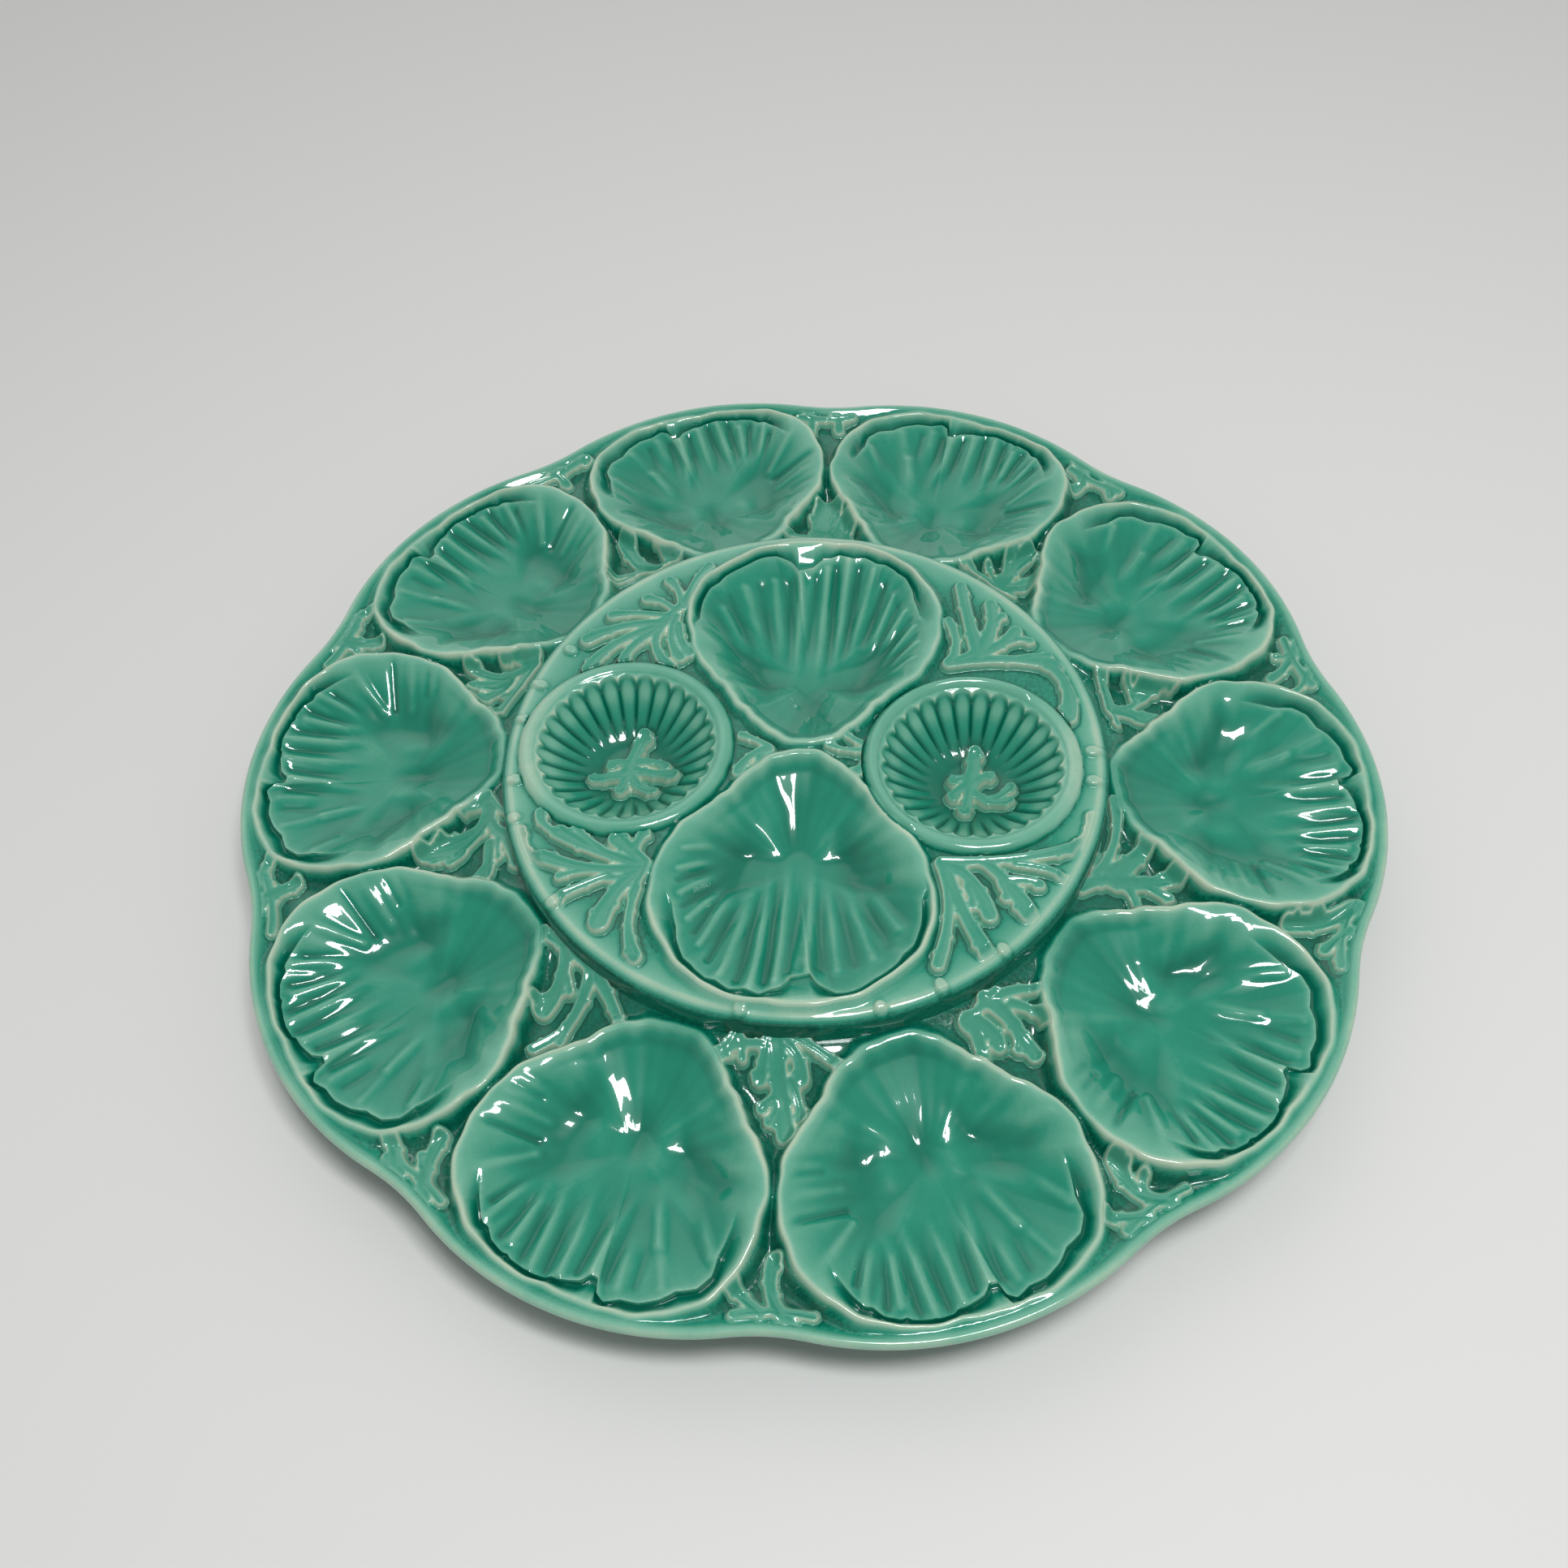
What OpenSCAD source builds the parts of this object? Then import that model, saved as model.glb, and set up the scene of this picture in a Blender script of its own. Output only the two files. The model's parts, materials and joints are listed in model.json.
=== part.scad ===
// Oyster plate in glazed earthenware: ten shell wells in a ring, a raised centre with two
// more shell wells and two fluted sauce cups, weed sprays between them, on a foot ring.
// Frame: Z up, Z = 0 is the table, the plate's axis is the Z axis, +Y is the far side.
// Lobe and well 1 are on +X, the others follow anticlockwise every 36 degrees.
// Units are millimetres. Outlines are tables in thousandths of the plate's radius.

/* [Plate] */
// Largest diameter, over the rim lobes
plate_d = 370; // [300:1:420]
// Height of the rolled rim above the table
rim_h = 24; // [20:0.5:32]
// Height of the sunken ground between the wells
ground_h = 19; // [16:0.5:20]
// Thickness of the ground
ground_t = 5.5; // [4:0.25:6.5]
// Width of the rolled rim
rim_w = 3.2; // [2.6:0.1:4]

/* [Foot] */
// Outer diameter of the foot ring
foot_d = 202; // [196:1:206]
// Width of the foot ring
foot_w = 7; // [5:0.5:8]

/* [Raised centre] */
// Diameter at the foot of the raised centre
centre_d = 193; // [190:0.5:193.6]
// Height of its flat top above the table
centre_h = 37; // [34:0.5:42]
// Thickness of its top
centre_t = 5.5; // [4:0.25:7]

/* [Shell wells] */
// Depth of a ring well below the rolled rim
well_depth = 7.5; // [6:0.25:8.5]
// Depth of a centre well below the flat top
centre_well_depth = 10; // [7:0.5:11]
// Wall under the wells
wall_t = 5; // [4:0.25:5.5]
// Height of the flutes
flute_h = 1.1; // [0.5:0.1:1.6]
// Width of the rounding outside a well's lip
flank = 1.2; // [0.8:0.1:1.5]

/* [Sauce cups] */
// Width of a cup's rolled edge
cup_edge_w = 6.5; // [5.5:0.1:7.5]
// Depth of a cup below the flat top
cup_depth = 13; // [10:0.5:14]
// Number of flutes in a cup
cup_flutes = 28; // [20:1:32]
// Height of a cup's edge above the flat top
cup_rise = 2.5; // [1.5:0.25:4]

/* [Weed] */
// Height of the fronds above what they lie on
frond_h = 2.6; // [1.5:0.1:4]
// Extra height along the middle of a frond
frond_rib_h = 1; // [0.4:0.1:1.6]
// Hairline left round every piece where it drops into its seat
seam = 0.15; // [0.1:0.05:0.3]
// Depth of the seats in the ground
seat_d = 0.6; // [0.4:0.1:0.8]
// Depth of the seats in the raised centre
top_seat_d = 1.6; // [1.2:0.1:2]

/* [Hidden] */
lobes = 10;
pitch = 360 / lobes;
plate_r = plate_d / 2;
mil = plate_r / 1000;
lobe_axis_share = 0.4543;
lobe_axis = plate_r * lobe_axis_share;
lobe_r = plate_r - lobe_axis;
rim_in_r = lobe_r - rim_w;
under_h = ground_h - ground_t;
seat_h = ground_h - seat_d;
top_seat_h = centre_h - top_seat_d;
centre_r = centre_d / 2;
centre_in_r = centre_r - 1.25 * wall_t;
// The body reaches in as far as it has to for the foot ring to hang from it.
body_in_r = min(centre_in_r, foot_d / 2 - foot_w);
// The cups take the room that the two centre wells leave.
cup_room_share = 0.3627;
cup_rim_d = centre_d * cup_room_share;
cup_d = cup_rim_d - 2 * cup_edge_w;
// Tables give places in thousandths of the plate's radius. What lies in the ring follows the band
// between the centre's foot and the rim, what lies on top follows the centre, a sprig its cup.
centre_edge_share = 0.52162;
cup_edge_share = 0.1541;
ring_mil = (plate_r - centre_r) / (1 - centre_edge_share) / 1000;
top_mil = centre_r / centre_edge_share / 1000;
cup_mil = cup_d / 2 / cup_edge_share / 1000;
in_ring = function(p) let (q = norm(p)) p / q * (centre_r + ring_mil * (q - 1000 * centre_edge_share));
on_top = function(p) p * top_mil;
in_cup = function(p) p * cup_mil;
fine = 96;
// Steps round one lobe of the body.
lobe_spokes = 16;

// Lip of a ring well round its own pole: angle, radius share, height share above the rim.
ring_pole_share = [-4, 724];
ring_lip_shares = [
    [-180, 216, 19], [-168, 195, 19], [-156, 175, 20], [-144, 166, 21], [-132, 161, 22],
    [-120, 169, 22], [-108, 186, 24], [-96, 189, 25], [-84, 190, 25], [-72, 191, 25],
    [-60, 187, 24], [-48, 181, 22], [-36, 182, 21], [-24, 196, 20], [-12, 214, 19],
    [0, 234, 19], [12, 250, 19], [24, 262, 20], [36, 272, 21], [48, 273, 15],
    [60, 262, 4], [72, 252, 0], [84, 248, 0], [96, 247, 0], [108, 253, 0],
    [120, 265, 0], [132, 270, 0], [144, 261, 4], [156, 246, 11], [168, 231, 17], [180, 216, 19]
];
// Lip of a centre well: the same, with heights above the flat top.
centre_pole_share = [0, 205];
centre_lip_shares = [
    [-180, 200, 19], [-168, 180, 19], [-156, 166, 19], [-144, 162, 19], [-132, 163, 19],
    [-120, 172, 19], [-108, 187, 19], [-96, 195, 19], [-84, 196, 19], [-72, 191, 19],
    [-60, 172, 19], [-48, 162, 19], [-36, 163, 19], [-24, 171, 19], [-12, 191, 19],
    [0, 214, 19], [12, 233, 19], [24, 251, 19], [36, 269, 19], [48, 280, 17],
    [60, 286, 15], [72, 287, 13], [84, 285, 13], [96, 284, 13], [108, 284, 13],
    [120, 282, 13], [132, 279, 15], [144, 267, 19], [156, 246, 19], [168, 222, 19], [180, 200, 19]
];
// Rings of a well from the pole outwards: share of the lip radius, share of the climb to
// the lip, share of the flute height.
ring_shares = [[0.32, 0.02, 0.1], [0.58, 0.2, 0.7], [0.76, 0.6, 1], [0.9, 0.92, 0.7], [1, 1, 0]];
// Rings of its underside, and the share of the lip outline that each hole follows.
under_shares = [[0.72, 0.5], [0.52, 0.14], [0.28, 0]];
ring_hole_share = 0.8;
centre_hole_share = 0.89;
// Spokes: flute crests and grooves every half step from the notch clockwise, the rest wide.
flute_from = 96;
flute_step = 5.75;
flute_spokes = 18;
plain_spokes = 17;

// Fronds: root, bend and tip as x y pairs, then width at the root and at the tip.
weed_shares = [
    [[11, 574, -12, 622, 8, 671, 59, 49], [4, 627, 3, 665, -3, 681, 32, 27],
        [15, 617, 31, 650, 30, 677, 32, 27], [43, 574, 32, 612, 47, 639, 49, 38],
        [43, 585, 58, 618, 74, 635, 32, 27], [6, 573, -60, 593, -108, 581, 27, 27],
        [-59, 577, -87, 587, -92, 592, 22, 22], [-5, 568, 27, 569, 60, 569, 22, 22]],
    [[11, 574, -7, 638, 2, 692, 43, 38], [-7, 638, -24, 659, -24, 675, 32, 27],
        [0, 584, -28, 599, -39, 615, 22, 24], [27, 574, 31, 617, 52, 645, 43, 38],
        [37, 596, 58, 618, 69, 624, 27, 27], [11, 568, -60, 588, -108, 581, 27, 27],
        [-70, 571, -92, 587, -98, 592, 22, 22], [0, 568, 27, 569, 49, 569, 22, 22]],
    [[22, 568, 4, 617, -18, 643, 27, 27], [-18, 632, -29, 664, -19, 697, 43, 35],
        [-23, 637, -51, 647, -51, 664, 27, 27], [-18, 632, -41, 613, -61, 626, 22, 22],
        [16, 574, 21, 612, 42, 639, 38, 38], [32, 612, 52, 640, 80, 635, 32, 27],
        [17, 563, -59, 577, -119, 581, 32, 27], [-59, 577, -81, 593, -87, 595, 22, 22],
        [6, 563, 28, 563, 49, 564, 22, 22]],
    [[33, 563, -1, 622, -35, 664, 38, 38], [-1, 611, 15, 638, 14, 655, 32, 27],
        [27, 585, 48, 618, 85, 624, 27, 32], [22, 558, -38, 594, -98, 603, 43, 32],
        [-71, 593, -98, 603, -99, 625, 32, 22], [-71, 593, -108, 586, -113, 575, 32, 27],
        [39, 531, -37, 561, -117, 521, 27, 27], [72, 516, 44, 537, 27, 569, 32, 32],
        [83, 500, -15, 535, -68, 496, 22, 22]],
    [[7, 536, -22, 583, -13, 643, 38, 32], [-16, 589, -1, 616, 4, 622, 27, 22],
        [-27, 562, -60, 582, -60, 615, 27, 27], [49, 553, 16, 579, 26, 601, 43, 32],
        [44, 564, 54, 586, 59, 607, 38, 30], [-4, 541, -91, 549, -109, 608, 27, 27],
        [-15, 535, 28, 547, 55, 548, 27, 27]],
    [[18, 514, 11, 574, -8, 665, 43, 38], [5, 606, 26, 612, 31, 623, 32, 27],
        [-1, 611, 15, 638, 20, 644, 32, 24], [-11, 584, -28, 610, -29, 637, 27, 27],
        [13, 519, -26, 540, -27, 578, 27, 32], [29, 525, 33, 563, 38, 580, 27, 32],
        [73, 500, 77, 532, 114, 566, 32, 32], [72, 527, 66, 543, 66, 553, 27, 22],
        [93, 543, 120, 550, 131, 550, 27, 22], [-4, 514, -58, 539, -91, 565, 27, 27],
        [-3, 503, -46, 496, -62, 482, 22, 27], [7, 536, 45, 528, 88, 535, 27, 27]],
    [[12, 525, -27, 594, 8, 671, 32, 27], [-6, 611, -18, 627, -18, 638, 27, 22],
        [89, 505, 33, 552, 42, 612, 32, 38], [43, 591, 59, 602, 61, 607, 32, 27],
        [38, 558, 28, 563, 22, 568, 27, 22], [2, 525, -58, 545, -103, 576, 32, 27],
        [126, 517, 115, 544, 108, 571, 22, 24], [7, 525, 61, 515, 126, 520, 27, 30],
        [7, 509, -36, 513, -68, 501, 22, 22]],
    [[60, 548, 5, 579, 25, 671, 38, 38], [15, 622, 9, 649, 9, 660, 32, 22],
        [10, 606, -1, 622, -1, 633, 27, 22], [38, 585, 42, 612, 36, 639, 32, 32],
        [93, 549, 81, 581, 91, 603, 38, 32], [92, 581, 108, 598, 118, 604, 32, 27],
        [-5, 557, -70, 571, -108, 586, 32, 27], [-48, 572, -54, 593, -55, 615, 38, 22],
        [7, 530, -36, 524, -63, 517, 27, 27], [-4, 541, -26, 545, -37, 545, 22, 19],
        [1, 530, 28, 552, 71, 548, 32, 32], [82, 538, 39, 526, 40, 504, 22, 24]],
    [[55, 564, 10, 606, 24, 682, 43, 27], [10, 595, -2, 638, -8, 660, 43, 27],
        [0, 595, -22, 610, -34, 632, 38, 32], [70, 575, 86, 608, 85, 640, 49, 32],
        [75, 592, 64, 613, 58, 623, 32, 27], [86, 597, 108, 603, 113, 614, 32, 27],
        [55, 559, -37, 561, -103, 584, 32, 30], [-54, 572, -76, 587, -81, 593, 27, 22],
        [-16, 567, -22, 578, -22, 586, 27, 22], [49, 558, 71, 564, 81, 575, 27, 32]],
    [[27, 579, 4, 627, 19, 687, 43, 38], [76, 586, 69, 618, 82, 646, 43, 43],
        [27, 585, -33, 605, -61, 626, 27, 24], [-16, 589, -71, 593, -93, 603, 22, 27],
        [16, 579, 49, 580, 86, 592, 22, 27]],
];
rim_weed_shares = [
    [[-54, 961, -32, 935, -36, 902, 27, 27], [-5, 962, 22, 942, 23, 909, 27, 27],
        [-64, 936, -6, 926, 49, 940, 24, 24]],
    [[-65, 961, -15, 935, -30, 897, 32, 32], [-11, 968, 28, 947, 39, 926, 27, 27],
        [-64, 936, -6, 926, 49, 940, 24, 24]],
    [[-48, 956, -4, 925, 8, 882, 30, 27], [-26, 929, -31, 918, -36, 910, 22, 22],
        [11, 957, 44, 931, 50, 904, 27, 22], [-64, 936, -6, 926, 49, 940, 24, 24]],
    [[-70, 944, -20, 908, -2, 849, 38, 32], [-25, 892, -41, 880, -46, 872, 32, 27],
        [-21, 946, -4, 925, 23, 912, 27, 27], [-64, 936, -6, 926, 49, 940, 24, 24]],
    [[-32, 940, 13, 903, -7, 843, 32, 35], [-9, 908, -20, 897, -25, 886, 27, 22],
        [12, 941, 45, 915, 61, 905, 27, 32], [-64, 936, -6, 926, 49, 940, 24, 24]],
    [[-32, 951, 12, 909, -2, 854, 32, 30], [12, 936, 39, 910, 62, 894, 27, 32],
        [-64, 936, -6, 926, 49, 940, 24, 24]],
    [[-43, 951, 1, 919, 14, 866, 32, 32], [2, 914, 12, 909, 18, 904, 27, 22],
        [17, 947, 55, 921, 83, 911, 32, 32], [-64, 936, -6, 926, 49, 940, 24, 24]],
    [[-16, 962, 17, 931, 29, 893, 38, 32], [27, 963, 66, 937, 88, 927, 27, 27],
        [-64, 936, -6, 926, 49, 940, 24, 24]],
    [[-27, 967, 1, 936, 24, 882, 38, 32], [6, 946, 22, 942, 33, 936, 27, 22],
        [-4, 925, -9, 914, -9, 908, 27, 22], [22, 969, 60, 943, 88, 927, 32, 27],
        [-64, 936, -6, 926, 49, 940, 24, 24]],
    [[-27, 967, 1, 936, 2, 903, 32, 27], [-5, 946, 12, 941, 17, 933, 27, 22],
        [22, 969, 55, 942, 66, 937, 27, 32], [-64, 936, -6, 926, 49, 940, 24, 24]],
];
back_left_shares = [
    [-238, 314, -232, 378, -200, 422, 22, 24], [-243, 324, -249, 362, -270, 381, 22, 27],
    [-254, 308, -281, 335, -308, 335, 22, 27], [-259, 292, -324, 303, -368, 292, 22, 27],
    [-270, 276, -346, 276, -405, 232, 27, 32], [-281, 265, -368, 232, -395, 162, 27, 32],
    [-281, 259, -341, 211, -335, 168, 27, 30], [-259, 292, -308, 227, -249, 173, 27, 27],
    [-249, 292, -265, 232, -232, 195, 24, 27], [-243, 270, -238, 227, -216, 205, 27, 27],
    [-232, 335, -259, 292, -303, 254, 27, 22]
];
back_right_shares = [
    [303, 216, 281, 303, 270, 384, 38, 27], [308, 232, 335, 292, 324, 341, 38, 30],
    [324, 286, 341, 308, 346, 314, 27, 22], [303, 222, 346, 238, 368, 276, 32, 32],
    [357, 254, 378, 259, 395, 254, 27, 22], [249, 197, 357, 222, 438, 200, 27, 32],
    [378, 211, 411, 222, 427, 222, 27, 22], [254, 205, 270, 249, 249, 297, 27, 24],
    [292, 222, 270, 205, 249, 200, 27, 27], [422, 200, 470, 162, 454, 86, 27, 38]
];
front_left_shares = [
    [-249, -249, -335, -227, -395, -189, 27, 35], [-324, -222, -357, -195, -368, -178, 27, 22],
    [-249, -254, -335, -270, -416, -238, 27, 32], [-335, -259, -368, -270, -384, -276, 22, 22],
    [-249, -243, -270, -222, -297, -200, 32, 38], [-270, -222, -259, -200, -254, -184, 27, 27],
    [-254, -259, -292, -292, -308, -357, 32, 41], [-249, -254, -254, -281, -259, -308, 27, 22],
    [-303, -270, -368, -303, -405, -330, 22, 32], [-254, -292, -270, -368, -243, -416, 22, 30],
    [-303, -276, -281, -276, -259, -270, 22, 22], [-378, -200, -432, -184, -432, -151, 22, 27],
    [-411, -238, -454, -238, -465, -184, 22, 27]
];
front_right_shares = [
    [238, -227, 292, -238, 314, -319, 32, 32], [281, -270, 286, -286, 286, -303, 27, 22],
    [243, -238, 265, -314, 308, -384, 32, 32], [243, -243, 259, -324, 232, -411, 27, 27],
    [308, -222, 346, -254, 373, -308, 27, 38], [335, -259, 341, -276, 341, -286, 27, 22],
    [346, -254, 378, -249, 395, -259, 27, 24], [238, -222, 346, -222, 443, -189, 27, 27],
    [432, -195, 486, -162, 486, -119, 22, 27], [357, -222, 443, -227, 465, -270, 22, 27],
    [454, -249, 443, -292, 411, -330, 22, 27]
];
mid_left_shares = [
    [-59, 0, -81, 16, -108, 24, 22, 22], [-59, -5, -97, -16, -108, -54, 27, 27],
    [-70, -11, -76, -49, -65, -76, 27, 32]
];
mid_right_shares = [
    [114, 5, 76, 30, 49, 43, 22, 22], [114, 0, 70, -5, 43, 8, 22, 19],
    [108, 11, 119, -27, 86, -54, 24, 27], [108, 0, 130, 43, 135, 70, 24, 30]
];
sprig_left_shares = [
    [0, -5, 11, 43, 19, 62, 32, 35], [5, 5, 43, 16, 65, -3, 27, 24],
    [0, -11, 49, -13, 81, -27, 27, 30], [0, -16, 16, -49, 49, -59, 32, 27],
    [0, -16, -5, -43, -11, -57, 32, 27], [5, -16, -38, -27, -59, -35, 32, 27],
    [5, -5, -22, 16, -32, -3, 27, 27]
];
sprig_right_shares = [
    [0, -5, 5, 38, 8, 62, 38, 32], [5, 0, 27, 16, 35, 16, 27, 27], [5, 5, -16, 14, -30, 3, 24, 27],
    [0, -5, -27, -16, -30, -32, 27, 27], [0, -11, -5, -43, -11, -65, 27, 30],
    [0, -16, 32, -49, 65, -43, 27, 27], [27, -38, 59, -27, 68, -11, 27, 27]
];
cup_centre_shares = [[-308, 0], [289, -14]];
frond_steps = 6;
tip_steps = 4;
rib_share = 0.42;

// Spoke angles of a well, clockwise from the notch.
function spoke(i) = i <= flute_spokes
    ? flute_from - flute_step * i
    : flute_from - flute_step * flute_spokes
        - (i - flute_spokes) * (360 - flute_step * flute_spokes) / (plain_spokes + 1);
spokes = [for (i = [0 : flute_spokes + plain_spokes]) spoke(i)];
function wrap(a) = a < -180 ? a + 360 : a;
function lip_r(t, a) = lookup(wrap(a), [for (p = t) [p[0], p[1]]]);
function lip_z(t, a) = mil * lookup(wrap(a), [for (p = t) [p[0], p[2]]]);
function flute(i) = i > flute_spokes ? 0 : flute_h * (i % 2 == 0 ? 0.5 : -0.5);

// A place at a share of a well's lip radius along one spoke, moved outwards by an amount.
function on_spoke(t, pole, place, a, share, grow) = let (
    c = place(pole),
    p = place(pole + share * lip_r(t, a) * [cos(a), sin(a)]))
    p + grow * (p - c) / norm(p - c);

// Plan outline of a well at a share of its lip radius, grown by an amount.
function well_plan(t, pole, place, share, grow) =
    [for (i = [len(spokes) - 1 : -1 : 0]) on_spoke(t, pole, place, spokes[i], share, grow)];

// One shell well as a closed solid: fluted hollow, rounded lip, straight flank down to its
// seat, a flat ledge that rests in the seat, and the bowl that hangs through the hole.
module shell_well(t, pole, place, base_h, depth, rest_h, hole_share) {
    n = len(spokes);
    floor_h = base_h - depth;
    inner = [for (s = ring_shares) [for (i = [0 : n - 1])
        let (a = spokes[i], p = on_spoke(t, pole, place, a, s[0], 0), top = base_h + lip_z(t, a))
        [p[0], p[1], floor_h + (top - floor_h) * s[1] + flute(i) * s[2]]]];
    shoulder = [for (a = spokes) let (p = on_spoke(t, pole, place, a, 1, flank))
        [p[0], p[1], base_h + lip_z(t, a) - flank]];
    foot = [for (a = spokes) let (p = on_spoke(t, pole, place, a, 1, flank)) [p[0], p[1], rest_h]];
    ledge = [for (a = spokes) let (p = on_spoke(t, pole, place, a, hole_share, -seam))
        [p[0], p[1], rest_h]];
    belly = [for (s = under_shares) [for (a = spokes)
        let (p = on_spoke(t, pole, place, a, s[0], 0), top = base_h + lip_z(t, a))
        [p[0], p[1], min(rest_h - seam, floor_h + (top - floor_h) * s[1] - wall_t)]]];
    pole_xy = place(pole);
    rings = concat(inner, [shoulder, foot, ledge], belly);
    m = len(rings);
    points = concat([for (r = rings) each r], [[pole_xy[0], pole_xy[1], floor_h],
        [pole_xy[0], pole_xy[1], floor_h - wall_t]]);
    wallfaces = [for (j = [0 : m - 2]) for (i = [0 : n - 1]) let (k = (i + 1) % n)
        each [[j * n + i, (j + 1) * n + k, j * n + k], [j * n + i, (j + 1) * n + i, (j + 1) * n + k]]];
    topfan = [for (i = [0 : n - 1]) [m * n, i, (i + 1) % n]];
    lowfan = [for (i = [0 : n - 1])
        [m * n + 1, (m - 1) * n + (i + 1) % n, (m - 1) * n + i]];
    polyhedron(points = points, faces = concat(wallfaces, topfan, lowfan));
}

// Points and widths along one frond.
function bend(c, u) = [for (i = [0, 1])
    (c[i] * (1 - u) * (1 - u) + 2 * c[i + 2] * u * (1 - u) + c[i + 4] * u * u)];
function heading(c, u) = let (
    d = [for (i = [0, 1]) (c[i + 2] - c[i]) * (1 - u) + (c[i + 4] - c[i + 2]) * u])
    d / norm(d);
function half_w(c, u, share) = share * (c[6] + (c[7] - c[6]) * u) / 2;
function side(c, u, s, share) = let (h = heading(c, u))
    bend(c, u) + s * half_w(c, u, share) * [-h[1], h[0]];
function frond_plan(c, share, place) = let (h = heading(c, 1), w = half_w(c, 1, share)) [for (p = concat(
    [for (j = [0 : frond_steps]) side(c, j / frond_steps, -1, share)],
    [for (j = [1 : tip_steps - 1]) let (b = -90 + 180 * j / tip_steps)
        bend(c, 1) + w * [h[0] * cos(b) - h[1] * sin(b), h[1] * cos(b) + h[0] * sin(b)]],
    [for (j = [frond_steps : -1 : 0]) side(c, j / frond_steps, 1, share)])) place(p)];

// A spray: flat fronds with a narrower rib on top of each.
module spray(fronds, place) {
    linear_extrude(frond_h) for (c = fronds) polygon(frond_plan(c, 1, place));
    translate([0, 0, frond_h / 2]) linear_extrude(frond_h / 2 + frond_rib_h)
        for (c = fronds) polygon(frond_plan(c, rib_share, place));
}

module at_lobe(k) { rotate([0, 0, pitch * (k - 1) - 90]) children(); }
module at_gap(k) { rotate([0, 0, pitch * (k - 1) + pitch / 2 - 90]) children(); }

// The space a ring well takes up, from above its seat upwards.
module well_space(t, pole, place, low, high) {
    translate([0, 0, low]) linear_extrude(high - low)
        polygon(well_plan(t, pole, place, 1, flank + seam));
}
module well_hole(t, pole, place, share, low, high) {
    translate([0, 0, low]) linear_extrude(high - low)
        polygon(well_plan(t, pole, place, share, 0));
}

module foot_ring() {
    color([0.42, 0.66, 0.57]) difference() {
        cylinder(d = foot_d, h = under_h, $fn = fine);
        translate([0, 0, -foot_w]) cylinder(r = foot_d / 2 - foot_w, h = under_h + 2 * foot_w, $fn = fine);
    }
}

// Distance from the plate's axis to an arc about a lobe's axis, and a whole ring of such points.
function lobed_r(r, a) = let (c = lobe_axis * cos(a)) c + sqrt(c * c - lobe_axis * lobe_axis + r * r);
function off_axis(i) = let (a = (i % lobe_spokes) * pitch / lobe_spokes) a > pitch / 2 ? a - pitch : a;
function lobed_ring(r, z) = [for (i = [0 : lobes * lobe_spokes - 1])
    let (a = i * pitch / lobe_spokes, q = lobed_r(r, off_axis(i))) [q * cos(a), q * sin(a), z]];

function round_ring(r, z) = [for (i = [0 : lobes * lobe_spokes - 1])
    let (a = i * pitch / lobe_spokes) [r * cos(a), r * sin(a), z]];

// The body before its seats are cut: flat underside, flared wall, rolled edge, sunken ground.
module lobed_dish() {
    edge = rim_w / 2;
    rise = rim_h - under_h;
    n = lobes * lobe_spokes;
    rings = concat([round_ring(body_in_r, under_h), lobed_ring(0.72 * lobe_r, under_h),
        lobed_ring(0.87 * lobe_r, under_h + 0.2 * rise), lobed_ring(0.97 * lobe_r, under_h + 0.52 * rise)],
        [for (j = [0 : 4]) lobed_ring(lobe_r - edge + edge * cos(45 * j), rim_h - edge + edge * sin(45 * j))],
        [lobed_ring(rim_in_r, ground_h), round_ring(body_in_r, ground_h)]);
    m = len(rings);
    polyhedron(points = [for (r = rings) each r], faces = [for (j = [0 : m - 1]) for (i = [0 : n - 1])
        let (k = (i + 1) % n, p = j * n, q = ((j + 1) % m) * n)
        each [[p + i, q + k, p + k], [p + i, q + i, q + k]]]);
}

module platter_body() {
    color([0.29, 0.59, 0.49]) difference() {
        lobed_dish();
        translate([0, 0, seat_h]) cylinder(r = centre_r + seam, h = rim_h, $fn = fine);
        for (k = [1 : lobes]) at_lobe(k) {
            well_space(ring_lip_shares, ring_pole_share, in_ring, seat_h, 2 * rim_h);
            well_hole(ring_lip_shares, ring_pole_share, in_ring, ring_hole_share, 0, rim_h);
        }
    }
}

module raised_centre() {
    t = centre_t;
    rise = centre_h - seat_h;
    color([0.33, 0.62, 0.52]) difference() {
        rotate_extrude($fn = fine) polygon([
            [0, centre_h - t], [centre_r - 0.85 * t - 1.25 * wall_t, centre_h - t],
            [centre_in_r - 0.3 * t, centre_h - 1.8 * t], [centre_in_r + seam, seat_h],
            [centre_r, seat_h], [centre_r, seat_h + 0.14 * rise],
            [0.987 * centre_r, seat_h + 0.8 * rise], [0.978 * centre_r, seat_h + 0.95 * rise],
            [0.969 * centre_r, centre_h], [0, centre_h]]);
        for (turn = [0, 180]) rotate([0, 0, turn]) {
            well_space(centre_lip_shares, centre_pole_share, on_top, top_seat_h, 2 * centre_h);
            well_hole(centre_lip_shares, centre_pole_share, on_top, centre_hole_share, 0, centre_h);
        }
        for (c = cup_centre_shares) translate(on_top(c)) {
            cylinder(r = cup_d / 2 + centre_t / 2, h = centre_h, $fn = fine);
            translate([0, 0, top_seat_h]) cylinder(d = cup_rim_d + 2 * seam, h = centre_h, $fn = fine);
        }
    }
}

module oyster_well(k) {
    color([0.36, 0.66, 0.56]) at_lobe(k) shell_well(ring_lip_shares, ring_pole_share,
        in_ring, rim_h, well_depth, seat_h, ring_hole_share);
}

module centre_well(turn) {
    color([0.38, 0.68, 0.58]) rotate([0, 0, turn]) shell_well(centre_lip_shares,
        centre_pole_share, on_top, centre_h, centre_well_depth, top_seat_h, centre_hole_share);
}

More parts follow.
